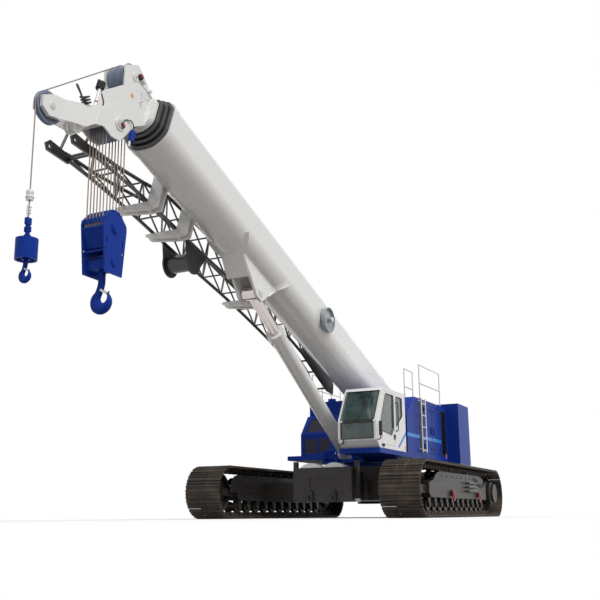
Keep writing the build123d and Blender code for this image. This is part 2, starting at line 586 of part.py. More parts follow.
base = hollow(*section_size(0), BASE_BACK, BASE_FRONT, TUBE_WALL)
wide, tall = section_size(0)
base += tube(wide + 14, tall + 14, BASE_FRONT - 160, BASE_FRONT) - tube(wide - 1, tall - 1, BASE_FRONT - 161, BASE_FRONT + 1)
base += tube(wide + 8, tall + 8, 2000, 2080) - tube(wide - 1, tall - 1, 1999, 2081)
# foot plates with the pin's bosses
foot = [(BASE_BACK + 600, AXIS_RISE + 380), (BASE_BACK + 600, AXIS_RISE - 380), (60, -210), (-150, -150), (-210, 0),
        (-150, 150), (60, 300)]
for side in (-1, 1):
    base += sheet(foot, side * (wide - 60), side * (wide - TUBE_WALL + 4))
base += across(0, 0, 200, -wide + 10, wide - 10)
base -= across(0, 0, FOOT_PIN + RUN, -wide, wide)
# lift-cylinder saddle: two ears between a pair of gussets that lean apart and wrap the tube
low_n = AXIS_RISE - tall
ear = [(7900, low_n + 60), (9600, low_n + 60), (9420, low_n - 90), (8950, LIFT_N - 60), (8780, LIFT_N - 190),
       (8540, LIFT_N - 190), (8420, LIFT_N - 40), (8200, low_n - 90)]
for side in (-1, 1):
    base += sheet(ear, side * 175, side * 235)
    base += across(LIFT_S, LIFT_N, 70, side * 175, side * 262)
    base += across(LIFT_S, LIFT_N, 120, side * 230, side * 250)
base += sheet([(9180, low_n + 40), (9240, low_n + 40), (9200, low_n - 130), (9140, low_n - 130)], -176, 176)
GUSSET, GUSSET_RISE = 26, 70
wrap = tube(wide + GUSSET_RISE, tall + GUSSET_RISE, 7000, 11000) + block(7000, 11000, -260, 260, LIFT_N, 0)
# foot and head of each gusset: s, n
for (s0, n0), (s1, n1) in (((9230, LIFT_N), (9900, -160)), ((8330, LIFT_N + 60), (7900, -160))):
    lean = [(s0, n0), (s0 + GUSSET, n0), (s1 + GUSSET, n1), (s1, n1)]
    base += sheet(lean, -wide - GUSSET_RISE, wide + GUSSET_RISE) & wrap
CYLINDER_ROOM = 500           # the raised cylinder comes up to this depth below the foot pin's line
base -= block(7800, LIFT_S, -175, 175, -1000, -CYLINDER_ROOM)
# rope guides along the top, and the strip along each flank
for s in (10030, 9470, 6940, 4890, 3860):
    base += block(s - 30, s + 30, 150, 170, AXIS_RISE + tall - 20, AXIS_RISE + tall + 95)
    base += across(s, AXIS_RISE + tall + 80, 24, 140, 180)
# pin of the hose reel, with its washer and cap
for radius, y0, y1 in ((REEL_PIN - RUN, -20, 210), (90, -20, 20 - SEAT), (60, 170 + SEAT, 200)):
    base += across(REEL_S, REEL_N, radius, wide + y0, wide + y1)
base -= tube(wide - TUBE_WALL, tall - TUBE_WALL, BASE_BACK - 1, BASE_FRONT + 1)
base += wear_ring(0, BASE_FRONT)
save("boom_base", BOOM * base)
save("boom_foot_pin", BOOM * across(0, 0, FOOT_PIN, -PLATE_IN - PLATE_THICK - 40, PLATE_IN + PLATE_THICK + 40))

for k in range(1, SECTIONS):
    wide, tall = section_size(k)
    front = BASE_FRONT + (k - 1) * COLLAR_PITCH + GAP
    section = hollow(wide, tall, BASE_BACK + 250 * k, front + COLLAR_LENGTH, TUBE_WALL)
    rim = STEP_WIDTH - TUBE_WALL
    section += tube(wide + rim, tall + rim, front, front + COLLAR_LENGTH) - tube(wide - 1, tall - 1, front - 1, front + 200)
    if k < SECTIONS - 1:
        section += wear_ring(k, front + COLLAR_LENGTH)
        save(f"boom_section_{k + 1}", BOOM * section)
    else:
        head_section = section

# ---------------------------------------------------------------- boom head
NEST = MAIN_SHEAVE + 28       # free space round the main sheaves
head_back = BASE_FRONT + (SECTIONS - 2) * COLLAR_PITCH + GAP + COLLAR_LENGTH - 1
head_outline = [(head_back + 20, 402), (13560, 585), (13800, 678), (14090, 405), (13975, 50), (14010, -350),
                (14130, -560), (14300, -760), (14300, -1120), (14120, -1010), (13900, -1030), (13690, -955),
                (13480, -450), (head_back + 20, -205)]
head = head_section
for side in (-1, 1):
    head += sheet(head_outline, side * (HEAD_HALF - CHEEK), side * HEAD_HALF)
    head += across(MAIN_S, MAIN_N, 105, side * (HEAD_HALF - 1), side * (HEAD_HALF + 22))
    head += across(TOP_S, TOP_N, 75, side * (HEAD_HALF - 1), side * (HEAD_HALF + 14))
    # lamp bracket on the cheek
    head += block(13560, 13660, side * (HEAD_HALF - 1), side * (HEAD_HALF + 60), 440, 460)
wide, tall = section_size(SECTIONS - 1)
# base ring between the innermost tube and the cheeks
ring = tube(wide + 22, tall + 22, head_back, head_back + 40)
head += ring - tube(wide - 80, tall - 60, head_back - 1, head_back + 41)
inner = HEAD_HALF - CHEEK + 1
# front plate below the top sheaves' opening, rear plate under them, and the cross tubes
head += sheet([(13975, 50), (14010, -350), (14130, -560), (14105, -575), (13984, -352), (13949, 48)], -inner, inner)
head += sheet([(head_back + 20, 150), (head_back + 20, 120), (13560, 60), (13965, 16), (13965, 42), (13570, 90)], -inner, inner)
head += sheet([(head_back + 20, -190), (head_back + 20, -160), (13520, -330), (13510, -360)], -inner, inner)
for s, n in ((13560, 555), (13700, -900)):
    head += across(s, n, 30, -inner, inner)
# arm of the auxiliary sheave: a box that narrows towards its fork
arm = [(14120, -545), (14330, -770), (14500, -890), (14930, -1160), (15120, -1235), (15300, -1400), (15250, -1570),
       (15080, -1625), (14930, -1545), (14700, -1420), (14430, -1290), (14300, -1120), (14112, -985)]
plan = [(14110, HEAD_HALF), (14330, HEAD_HALF - 8), (14900, 118), (15350, 96)]
plan += [(s, -y) for s, y in reversed(plan)]
box_arm = sheet(arm, -HEAD_HALF, HEAD_HALF) & slab(plan, -1700, -500)
core = [(14150, -620), (14500, -925), (14930, -1195), (14930, -1515), (14700, -1390), (14430, -1260), (14140, -970)]
box_arm -= sheet(core, -HEAD_HALF, HEAD_HALF) & slab([(s, 0.8 * y) for s, y in plan], -1700, -500)
box_arm -= across(AUX_S, AUX_N, AUX_SHEAVE + 28, -SHEAVE_HALF - GAP, SHEAVE_HALF + GAP)
for side in (-1, 1):
    box_arm += across(AUX_S, AUX_N, 80, side * 75, side * 112)
    lug = sheet([(14350, -1180), (14560, -1200), (14640, -1390), (14540, -1440), (14430, -1400)], side * 60, side * 84)
    box_arm += lug - across(14540, -1370, 34, -100, 100)
head += box_arm
head -= across(MAIN_S, MAIN_N, NEST, 1 - inner, inner - 1)
head -= block(13540, 14100, 1 - inner, inner - 1, -1100, MAIN_N)
for s, n, r in ((MAIN_S, MAIN_N, 70), (AUX_S, AUX_N, 45)):
    head -= across(s, n, r + RUN, -600, 600)
head += across(TOP_S, TOP_N, 50, -HEAD_HALF - 20, HEAD_HALF + 20)
save("boom_head", BOOM * head)


def sheave(radius, bore, half):
    """One grooved sheave about Y."""
    rows = [(bore, -half), (bore, half), (bore + 45, half), (bore + 50, half / 2), (radius - 50, half / 2),
            (radius - 45, half), (radius, half), (radius - GROOVE, 0), (radius, -half), (radius - 45, -half),
            (radius - 50, -half / 2), (bore + 50, -half / 2), (bore + 45, -half)]
    return turned(rows, 0, 0, 0)


def rope_line(radius, half):
    """Distance of a rope's middle from a sheave's axis, seated in the groove."""
    return radius - GROOVE + (ROPE + SEAT) * hypot(GROOVE, half) / half


def sheave_set(radius, bore, half, count):
    """Sheaves side by side on one axle."""
    start = -(count - 1) * half
    return apart([Pos(0, start + 2 * k * half, 0) * sheave(radius, bore, half - 1) for k in range(count)])


main_x, main_z = on_boom(MAIN_S, MAIN_N)
aux_x, aux_z = on_boom(AUX_S, AUX_N)
top_x, top_z = on_boom(TOP_S, TOP_N)
save("main_head_sheaves", Pos(main_x, 0, main_z) * sheave_set(MAIN_SHEAVE, 70 + RUN, SHEAVE_HALF, MAIN_FALLS))
save("main_sheave_axle", across(main_x, main_z, 70, -HEAD_HALF - 40, HEAD_HALF + 40))
save("top_sheaves", Pos(top_x, 0, top_z) * sheave_set(TOP_SHEAVE, 50 + RUN, 80, 2))
save("aux_sheave", Pos(aux_x, 0, aux_z) * sheave(AUX_SHEAVE, 45 + RUN, SHEAVE_HALF))
save("aux_sheave_axle", across(aux_x, aux_z, 45, -125, 125))

# ---------------------------------------------------------------- lift cylinder
top_pin_x, top_pin_z = on_boom(LIFT_S, LIFT_N)
reach = hypot(top_pin_x - LIFT_X, top_pin_z - LIFT_Z)
aim = Plane(origin=(LIFT_X, 0, LIFT_Z), x_dir=(0, 1, 0),
            z_dir=(top_pin_x - LIFT_X, 0, top_pin_z - LIFT_Z))
barrel = aim * Pos(0, 0, BARREL_LENGTH / 2 + 60) * Cylinder(BARREL_RADIUS, BARREL_LENGTH - 120)
barrel += aim * Pos(0, 0, BARREL_LENGTH - 90) * Cylinder(BARREL_RADIUS + 30, 180)
barrel += across(LIFT_X, LIFT_Z, 165, -180, 180)
bore = BARREL_LENGTH - 180 - 180
barrel -= aim * Pos(0, 0, 180 + bore / 2) * Cylinder(BORE_RADIUS, bore)
barrel -= aim * Pos(0, 0, BARREL_LENGTH - 150) * Cylinder(ROD_RADIUS + RUN, 400)
barrel -= across(LIFT_X, LIFT_Z, 70 + RUN, -200, 200)
save("lift_barrel", barrel)
save("lift_foot_pin", across(LIFT_X, LIFT_Z, 70, -290, 290))
piston_top = PISTON_START + PISTON_LENGTH
save("lift_piston", aim * Pos(0, 0, PISTON_START + PISTON_LENGTH / 2) * Cylinder(BORE_RADIUS - RUN, PISTON_LENGTH))
rod_length = reach - piston_top - SEAT - 100
rod = aim * Pos(0, 0, piston_top + SEAT + rod_length / 2) * Cylinder(ROD_RADIUS, rod_length)
rod += across(top_pin_x, top_pin_z, 165, -160, 160)
save("lift_rod", rod)

# ---------------------------------------------------------------- hook blocks
falls, rope_slots = [], []
for k in range(MAIN_FALLS):
    y = (k - (MAIN_FALLS - 1) / 2) * 2 * SHEAVE_HALF
    rope_slots.append(block(main_x - 400, main_x + 400, y - 20, y + 20, 4500, 4805))
    for side in (-1, 1):
        x = main_x + side * rope_line(MAIN_SHEAVE, SHEAVE_HALF - 1)
        falls.append(upright(x, y, ROPE, BLOCK_PIN_Z, main_z))
save("main_falls", apart(falls))
PLATE = 25                    # side plates of the hook block
block_in = BLOCK_HALF_Y - PLATE
# x from the pin, z
half_plate = [(215, BLOCK_LOW), (300, 4590), (285, 4665), (110, BLOCK_TOP - 25), (0, BLOCK_TOP)]
plate = [(main_x + x, z) for x, z in half_plate] + [(main_x - x, z) for x, z in half_plate[-2::-1]]
hook_block = fused([sheet(plate, side * block_in, side * BLOCK_HALF_Y) for side in (-1, 1)])
for side in (-1, 1):
    for z, radius in ((BLOCK_PIN_Z, 92), (3985, 74)):
        hook_block += across(main_x, z, radius, side * (BLOCK_HALF_Y - 1), side * (BLOCK_HALF_Y + 12))
        hook_block += across(main_x, z, radius - 22, side * BLOCK_HALF_Y, side * (BLOCK_HALF_Y + 22))
    # slots and small holes near the plates' edges
    for x, z, long, tall_slot in ((-215, 4330, 22, 110), (215, 4330, 22, 110), (-232, 4170, 46, 26), (232, 4170, 46, 26),
                                  (-250, 4660, 24, 24), (250, 4660, 24, 24), (-70, 4800, 26, 22), (70, 4800, 26, 22)):
        if abs(x) < 250:
            x = x * 0.93
        hook_block -= block(main_x + x - long / 2, main_x + x + long / 2, side * (block_in - 1),
                            side * (BLOCK_HALF_Y + 1), z - tall_slot / 2, z + tall_slot / 2)
    # comb guard over the ropes, front lip, sloping guard and cross bar
    guard = [(300, 4590), (285, 4665), (110, BLOCK_TOP - 25), (98, 4817), (268, 4653), (277, 4585)]
    lip = [(300, 4530), (300, 4500), (290, 4497), (174, 4208), (156, 4216), (280, 4530)]
    comb = sheet([(main_x + side * x, z) for x, z in guard], -block_in - 1, block_in + 1)
    hook_block += comb - rope_slots
    hook_block += sheet([(main_x + side * x, z) for x, z in lip], -block_in - 1, block_in + 1)
    hook_block += across(main_x + side * 205, 4150, 20, -block_in - 1, block_in + 1)
hook_block += block(main_x - 150, main_x + 150, -block_in - 1, block_in + 1, 3870, 4020)
hook_block += across(main_x, BLOCK_PIN_Z, 50, -BLOCK_HALF_Y - 30, BLOCK_HALF_Y + 30)
hook_block -= upright(main_x, 0, 55 + RUN, 3800, 4030)
save("hook_block", hook_block)
block_sheaves = sheave_set(MAIN_SHEAVE, 50 + RUN, SHEAVE_HALF, MAIN_FALLS)
save("block_sheaves", Pos(main_x, 0, BLOCK_PIN_Z) * block_sheaves)


def hook(x, z_low, z_top, size, bowl, shank, thick):
    """A forged hook across the boom: outer round, bowl set towards the tip, neck, shank, open to the left."""
    centre = z_low + size
    outer = across(0, 0, size, -thick, thick)
    shape = outer - across(0.30 * size, 0.34 * size, bowl, -thick - 1, thick + 1)
    # throat between the neck and the tip
    throat = [(0.30 * size - bowl, 0.34 * size), (0.30 * size + 0.8 * bowl, 0.40 * size), (1.3 * size, 1.1 * size),
              (0.5 * size, 1.3 * size), (0.30 * size - bowl, 1.1 * size)]
    shape -= sheet(throat, -thick - 1, thick + 1)
    neck = [(-0.86 * size, 0.5 * size), (-1.25 * shank, 1.5 * size), (-1.25 * shank, 1.7 * size),
            (1.25 * shank, 1.7 * size), (1.25 * shank, 1.5 * size), (0.30 * size - bowl, 1.1 * size),
            (0.30 * size - bowl, 0.2 * size), (-0.5 * size, 0.1 * size)]
    shape += sheet(neck, -thick, thick)
    shape = Pos(x, 0, centre) * Rot(0, 0, 90) * shape
    return shape + upright(x, 0, shank, centre + 1.6 * size, z_top)


main_hook = hook(main_x, 3165, 4035, 195, 76, 55, 62) + upright(main_x, 0, 88, 4021, 4085)
save("main_hook", main_hook)
ball_x = aux_x + rope_line(AUX_SHEAVE, SHEAVE_HALF)
save("aux_rope", upright(ball_x, 0, ROPE, SOCKET_TOP - 50, aux_z))
# wedge socket with a tongue, pinned in the ball's clevis
socket = block(ball_x - 42, ball_x + 42, -30, 30, SOCKET_PIN_Z + 50, SOCKET_TOP)
socket += block(ball_x - 30, ball_x + 30, -20, 20, SOCKET_PIN_Z, SOCKET_PIN_Z + 51)
socket += across(ball_x, SOCKET_PIN_Z, 30, -20, 20)
socket -= across(ball_x, SOCKET_PIN_Z, 15 + RUN, -30, 30)
socket -= upright(ball_x, 0, ROPE + SEAT, SOCKET_TOP - 60, SOCKET_TOP + 1)
save("rope_socket", socket)
ball = upright(ball_x, 0, BALL_RADIUS, BALL_LOW, BALL_TOP) + upright(ball_x, 0, 52, BALL_TOP - 1, BALL_TOP + 55)
ball += upright(ball_x, 0, 34, BALL_TOP + 50, SOCKET_PIN_Z - 48)
ball += block(ball_x - 30, ball_x + 30, -42, 42, SOCKET_PIN_Z - 60, SOCKET_PIN_Z - 38)
for side in (-1, 1):
    ball += block(ball_x - 30, ball_x + 30, side * 23, side * 42, SOCKET_PIN_Z - 40, SOCKET_PIN_Z)
    ball += across(ball_x, SOCKET_PIN_Z, 30, side * 23, side * 42)
ball += across(ball_x, SOCKET_PIN_Z, 15, -50, 50)
ball -= turned_recess(ball_x, BALL_LOW, BALL_RADIUS - 26, 62, 34)
ball -= upright(ball_x, 0, 32 + RUN, BALL_LOW - 10, BALL_LOW + 120)
save("hook_ball", ball)
save("aux_hook", hook(ball_x, 3270, BALL_LOW + 110, 104, 40, 32, 34))

# ---------------------------------------------------------------- stowed lattice jib
CHORD, LACE = 36, 19
JIB_OUT, JIB_IN = -1150, -600
jib_rows = [  # s, lower n, upper n
    (4900, -150, 330), (5700, -140, 290), (6500, -170, 250), (7300, -210, 210), (8100, -270, 170), (8900, -345, 120),
    (9700, -425, 60), (10500, -485, 0), (11300, -540, -70), (12050, -610, -330), (12800, -700, -560),
    (13400, -790, -700)]
lattice = []
for (s0, low0, up0), (s1, low1, up1) in zip(jib_rows, jib_rows[1:]):
    for y in (JIB_OUT, JIB_IN):
        lattice += [strut((s0, y, low0), (s1, y, low1), CHORD, 8), strut((s0, y, up0), (s1, y, up1), CHORD, 8),
                    strut((s0, y, low0), (s1, y, up1), LACE), strut((s1, y, low1), (s1, y, up1), LACE)]
    for n0, n1 in ((low0, low1), (up0, up1)):
        lattice += [strut((s0, JIB_OUT, n0), (s1, JIB_IN, n1), LACE), strut((s1, JIB_OUT, n1), (s1, JIB_IN, n1), LACE)]
jib = fused(lattice)
s_root, low_root, up_root = jib_rows[0]
TIP_S, TIP_N = 13880, -880
fork = [(s_root + 60, low_root - 30), (s_root + 60, up_root + 30), (3500, 150), (2990, -60), (2950, -330),
        (3300, -400), (3900, -330)]
tip = [(13360, -650), (13560, -720), (TIP_S + 40, TIP_N + 110), (TIP_S + 110, TIP_N), (TIP_S + 30, TIP_N - 100),
       (13380, -860)]
for y in (JIB_OUT, JIB_IN):
    jib += sheet(fork, y - 20, y + 20) - across(3080, -220, 45, y - 30, y + 30)
    jib += sheet(tip, y - 22, y + 22) - across(TIP_S, TIP_N, 38, y - 30, y + 30)
    # stays that stand up from the tip
    jib += bar((13640, y, -760), (13600, y, -330), 26)
for s, n in ((13450, -780), (13600, -345), (3500, 100), (3350, -340), (4400, -60)):
    jib += bar((s, JIB_OUT - 18, n), (s, JIB_IN + 18, n), 24)
# rope drum hung below the jib
DRUM_S, DRUM_N, JIB_DRUM = 10050, -790, 230
for y in (JIB_OUT, JIB_IN):
    hanger = [(9650, -440), (10450, -490), (10260, DRUM_N - 110), (10050, DRUM_N - 150), (9840, DRUM_N - 100)]
    jib += sheet(hanger, y - 12, y + 12)
jib += turned([(0, -290), (JIB_DRUM + 30, -290), (JIB_DRUM + 30, -260), (JIB_DRUM - 50, -260), (JIB_DRUM - 50, 260),
               (JIB_DRUM + 30, 260), (JIB_DRUM + 30, 290), (0, 290)], DRUM_S, (JIB_OUT + JIB_IN) / 2, DRUM_N)
save("stowed_jib", BOOM * jib)
wide, tall = section_size(0)
hug = tube(wide + SEAT, tall + SEAT, BASE_BACK, BASE_FRONT)


def chord_n(s, column):
    """Height of a jib chord at a place along the boom."""
    for near, far in zip(jib_rows, jib_rows[1:]):
        if near[0] <= s <= far[0]:
            return near[column] + (far[column] - near[column]) * (s - near[0]) / (far[0] - near[0])


# carriers that hold the jib beside the tube: two prongs each, under both lower chords
brackets = []
for s in (7700, 10750, 11750):
    for s_prong in (s - 70, s + 70):
        low = min(chord_n(s_prong - 30, 1), chord_n(s_prong + 30, 1)) - CHORD - SEAT
        inner_y = JIB_IN + CHORD + SEAT
        prong = [(-300, 60), (inner_y, 20), (inner_y, low), (JIB_OUT - 130, low), (JIB_OUT - 150, low - 40),
                 (JIB_OUT - 60, low - 90), (-520, low - 190), (-300, low - 160)]
        face = Plane(origin=(s_prong - 22, 0, 0), x_dir=(0, 1, 0), z_dir=(1, 0, 0)) * make_face(Polyline(*prong, close=True))
        brackets.append(extrude(face, 44) - hug)
    low = chord_n(s, 1) - 210
    prong = brackets.pop(-1)
    brackets[-1] += [prong, block(s - 60, s + 60, -560, -500, low, low + 90)]
save("jib_brackets", BOOM * apart(brackets))

# ---------------------------------------------------------------- hose reel on the boom's left side
reel = turned([(REEL_PIN, 0), (REEL_PIN, 150), (60, 150), (60, 60), (280, 55), (280, 110), (300, 110), (300, 20),
               (60, 10), (60, 0)], REEL_S, BASE_HALF_WIDTH + 20, REEL_N)
save("hose_reel", BOOM * reel)
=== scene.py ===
# %% [markdown]
# # A telescopic-boom crawler crane, dressed
# The CAD model brings every solid at its real size and place. This lesson dresses it: camera and light,
# then painted steel, glass and rope, then the smaller pieces that are easier to make as surfaces from
# arrays than as solids. All lengths are metres, +X is forward, +Y is left, +Z is up.

# %% Load the fixed frame
from math import cos, pi, radians, sin
import json

import bmesh
import bpy
import numpy as np
from mathutils import Matrix, Vector


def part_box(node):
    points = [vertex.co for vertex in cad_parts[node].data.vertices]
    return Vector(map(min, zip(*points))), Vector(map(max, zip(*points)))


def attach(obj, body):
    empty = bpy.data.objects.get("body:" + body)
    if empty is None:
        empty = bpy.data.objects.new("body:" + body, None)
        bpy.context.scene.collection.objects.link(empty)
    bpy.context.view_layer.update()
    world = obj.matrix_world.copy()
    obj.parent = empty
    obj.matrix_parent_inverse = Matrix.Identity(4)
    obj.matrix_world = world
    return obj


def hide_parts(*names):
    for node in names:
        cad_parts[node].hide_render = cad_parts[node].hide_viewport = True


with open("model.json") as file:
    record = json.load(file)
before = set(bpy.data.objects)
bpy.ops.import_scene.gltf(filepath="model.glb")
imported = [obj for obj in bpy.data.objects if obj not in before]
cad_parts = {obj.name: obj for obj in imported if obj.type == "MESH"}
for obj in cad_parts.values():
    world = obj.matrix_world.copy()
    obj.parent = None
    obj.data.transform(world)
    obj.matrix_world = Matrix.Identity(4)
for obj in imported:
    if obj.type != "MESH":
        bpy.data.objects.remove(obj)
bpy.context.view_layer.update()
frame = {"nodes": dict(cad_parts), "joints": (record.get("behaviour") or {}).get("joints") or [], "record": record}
joints = {joint["name"]: joint for joint in frame["joints"]}
nodes = frame["nodes"]

# %% [markdown]
# ## Camera
# A machine 16 m long is looked at from floor level, 23 m from its slewing axis, so the boom towers over
# the lens. The camera points up at the boom, and a small shift of the lens frames the picture.

# %% Place the camera near the floor, ahead and to the left
EYE = (21.036, 8.477, 0.082)
HEADING, PITCH, ROLL = radians(180 + 26.378), radians(12.969), radians(-0.435)
SENSOR, LENS = 36.0, 51.445
SHIFT = (0.0171, 0.0291)
FARTHEST_SEEN = 400


def aim_camera():
    """Axes of the camera: forward from heading and pitch, right level with the ground, then both rolled."""
    level = Vector((cos(HEADING), sin(HEADING), 0))
    right = Vector((sin(HEADING), -cos(HEADING), 0))
    up = Vector((0, 0, 1))
    forward = cos(PITCH) * level + sin(PITCH) * up
    above = -sin(PITCH) * level + cos(PITCH) * up
    turned_right = cos(ROLL) * right + sin(ROLL) * above
    turned_up = -sin(ROLL) * right + cos(ROLL) * above
    data = bpy.data.cameras.new("camera")
    data.sensor_width, data.lens = SENSOR, LENS
    data.shift_x, data.shift_y = SHIFT
    data.clip_end = FARTHEST_SEEN
    camera = bpy.data.objects.new("camera", data)
    axes = Matrix((turned_right, turned_up, -forward)).transposed().to_4x4()
    camera.matrix_world = Matrix.Translation(EYE) @ axes
    bpy.context.scene.collection.objects.link(camera)
    bpy.context.scene.camera = camera


aim_camera()
print("camera at", EYE, "with a lens of", LENS, "mm")

# %% [markdown]
# ## Surfaces from arrays
# Most added pieces are bars, plates and wheels. All three are the same thing to a computer: a stack of
# rings of points with a skin of four-sided faces over it. Only the rule that places the rings changes,
# so one function makes the skin and the others work out rings as whole arrays.

# %% A skin over rings
def skin(rings, around=True, along=False, caps=True):
    """Joins point j of ring i to points i + 1 and j + 1, round each ring if `around`, and from the last
    ring back to the first if `along`. Flat ends close a stack that stays open."""
    rings = np.asarray(rings, float)
    count, size = rings.shape[:2]
    i, j = np.meshgrid(np.arange(count if along else count - 1), np.arange(size if around else size - 1),
                       indexing="ij")
    i, j = i.ravel(), j.ravel()
    next_i, next_j = (i + 1) % count, (j + 1) % size
    corners = [i * size + j, i * size + next_j, next_i * size + next_j, next_i * size + j]
    faces = np.stack(corners, 1).tolist()
    if caps and around and not along:
        faces += [list(range(size))[::-1], list(range((count - 1) * size, count * size))]
    return rings.reshape(-1, 3), faces


def unit(vectors):
    """Each vector divided by its length."""
    vectors = np.asarray(vectors, float)
    return vectors / np.linalg.norm(vectors, axis=-1, keepdims=True)


def squares(path):
    """At each point of a path, two directions square to it and to each other."""
    ahead = unit(np.gradient(path, axis=0))
    spare = np.eye(3)[np.argmin(np.abs(ahead).max(axis=0))]
    side = unit(np.cross(ahead, spare))
    return side, np.cross(side, ahead)


def tube(path, radius, sides=12):
    """A round bar: the circle radius * (cos v, sin v) carried along the path, square to it."""
    path = np.asarray(path, float)
    side, up = squares(path)
    v = np.linspace(0, 2 * pi, sides, endpoint=False)[None, :, None]
    return skin(path[:, None] + radius * (np.cos(v) * side[:, None] + np.sin(v) * up[:, None]))


def lathe(profile, centre, axis, sides=48):
    """A turned piece: rows of (radius, height along the axis) swung round the axis."""
    profile = np.asarray(profile, float)
    axis = unit(axis)
    side = unit(np.cross(axis, np.eye(3)[np.argmin(np.abs(axis))]))
    up = np.cross(axis, side)
    u = np.linspace(0, 2 * pi, sides, endpoint=False)[:, None, None]
    spokes = np.cos(u) * side + np.sin(u) * up
    rings = np.asarray(centre) + profile[None, :, :1] * spokes + profile[None, :, 1:] * axis
    return skin(rings, along=True, caps=False)


def prism(outline, shift):
    """A plate: an outline of points, and the same outline moved by a shift."""
    outline = np.asarray(outline, float)
    return skin(np.stack([outline, outline + np.asarray(shift, float)]))


def box(corner, opposite):
    """A block between two opposite corners, as a plate along Z."""
    (x0, y0, z0), (x1, y1, z1) = np.sort([corner, opposite], axis=0)
    return prism([(x0, y0, z0), (x1, y0, z0), (x1, y1, z0), (x0, y1, z0)], (0, 0, z1 - z0))


def standing(outline, y0, y1):
    """A plate across Y from an outline in X and Z."""
    outline = np.asarray(outline, float)
    points = np.column_stack([outline[:, 0], np.full(len(outline), y0), outline[:, 1]])
    return prism(points, (0, y1 - y0, 0))


def curve(points, steps=8):
    """A smooth path through points: each stretch is the cubic whose end slopes are half the distance
    between the two neighbours."""
    p = np.asarray(points, float)
    p = np.vstack([2 * p[0] - p[1], p, 2 * p[-1] - p[-2]])
    t = np.linspace(0, 1, steps, endpoint=False)[None, :, None]
    a, b, c, d = (p[k:len(p) - 3 + k][:, None] for k in range(4))
    square, cube = 2 * a - 5 * b + 4 * c - d, 3 * b - a - 3 * c + d
    path = 0.5 * (2 * b + (c - a) * t + square * t ** 2 + cube * t ** 3)
    return np.vstack([path.reshape(-1, 3), p[-2]])


def copies(shape, origins, turns=None):
    """The same shape at many origins, each turned by its own 3 x 3 matrix of row axes."""
    points, faces = shape
    origins = np.asarray(origins, float)
    turns = np.broadcast_to(np.eye(3), (len(origins), 3, 3)) if turns is None else np.asarray(turns, float)
    placed = origins[:, None] + np.einsum("pi,kij->kpj", points, turns)
    starts = range(0, len(points) * len(origins), len(points))
    return placed.reshape(-1, 3), [[v + start for v in face] for start in starts for face in faces]


# %% [markdown]
# Shapes become one mesh per piece. The normals are worked out again after doubled points are merged, so
# that every shell faces outwards, and edges sharper than a set angle stay crisp.

# %% Make a piece that rides on a body
SAME_POINT = 1e-6
BEVEL_FROM = radians(40)
made = []


def piece(name, shapes, body, slot, finish=None, angle=32, bevel=0, instead_of=()):
    """Joins shapes into one mesh, gives it a finish, its slot's own if none is named, and fixes it to the CAD
    body that carries it."""
    points = np.vstack([shape[0] for shape in shapes])
    starts = np.cumsum([0] + [len(shape[0]) for shape in shapes[:-1]]).tolist()
    faces = [[v + start for v in face] for start, shape in zip(starts, shapes) for face in shape[1]]
    mesh = bpy.data.meshes.new(name)
    mesh.from_pydata(points, [], faces)
    work = bmesh.new()
    work.from_mesh(mesh)
    bmesh.ops.remove_doubles(work, verts=work.verts, dist=SAME_POINT)
    bmesh.ops.recalc_face_normals(work, faces=work.faces)
    work.to_mesh(mesh)
    work.free()
    mesh.polygons.foreach_set("use_smooth", np.ones(len(mesh.polygons), bool))
    mesh.set_sharp_from_angle(angle=radians(angle))
    mesh.materials.append(finishes[finish or slot])
    thing = bpy.data.objects.new(name, mesh)
    bpy.context.scene.collection.objects.link(thing)
    if bevel:
        edge = thing.modifiers.new("edges", "BEVEL")
        edge.width, edge.segments = bevel, 2
        edge.limit_method, edge.angle_limit = "ANGLE", BEVEL_FROM
    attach(thing, body)
    if instead_of:
        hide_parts(*instead_of)
    made.append((name, len(mesh.polygons)))
    return thing


print("tools ready: bars, wheels, plates, blocks, curves and copies")

# %% [markdown]
# ## Sums on shader sockets
# A finish is a small calculation: how much dust, how rough, which colour. Written as nodes it is hard to
# read, so one class wraps a socket and turns Python's operators into Math nodes, and one method makes
# every other node.

# %% Sockets that can be added up
class Wire:
    """One output of a node. Sums and products with it add Math nodes."""

    def __init__(self, recipe, socket):
        self.recipe, self.socket = recipe, socket

    def maths(self, operation, *values):
        return self.recipe.add("Math", {"operation": operation}, *values)

    def __add__(self, other):
        return self.maths("ADD", self, other)

    def __rsub__(self, other):
        return self.maths("SUBTRACT", other, self)

    def __mul__(self, other):
        return self.maths("MULTIPLY", self, other)

    def between(self, low, high):
        """0 below low, 1 above high, and a straight line between."""
        return self.recipe.add("MapRange", {"clamp": True}, self, low, high)


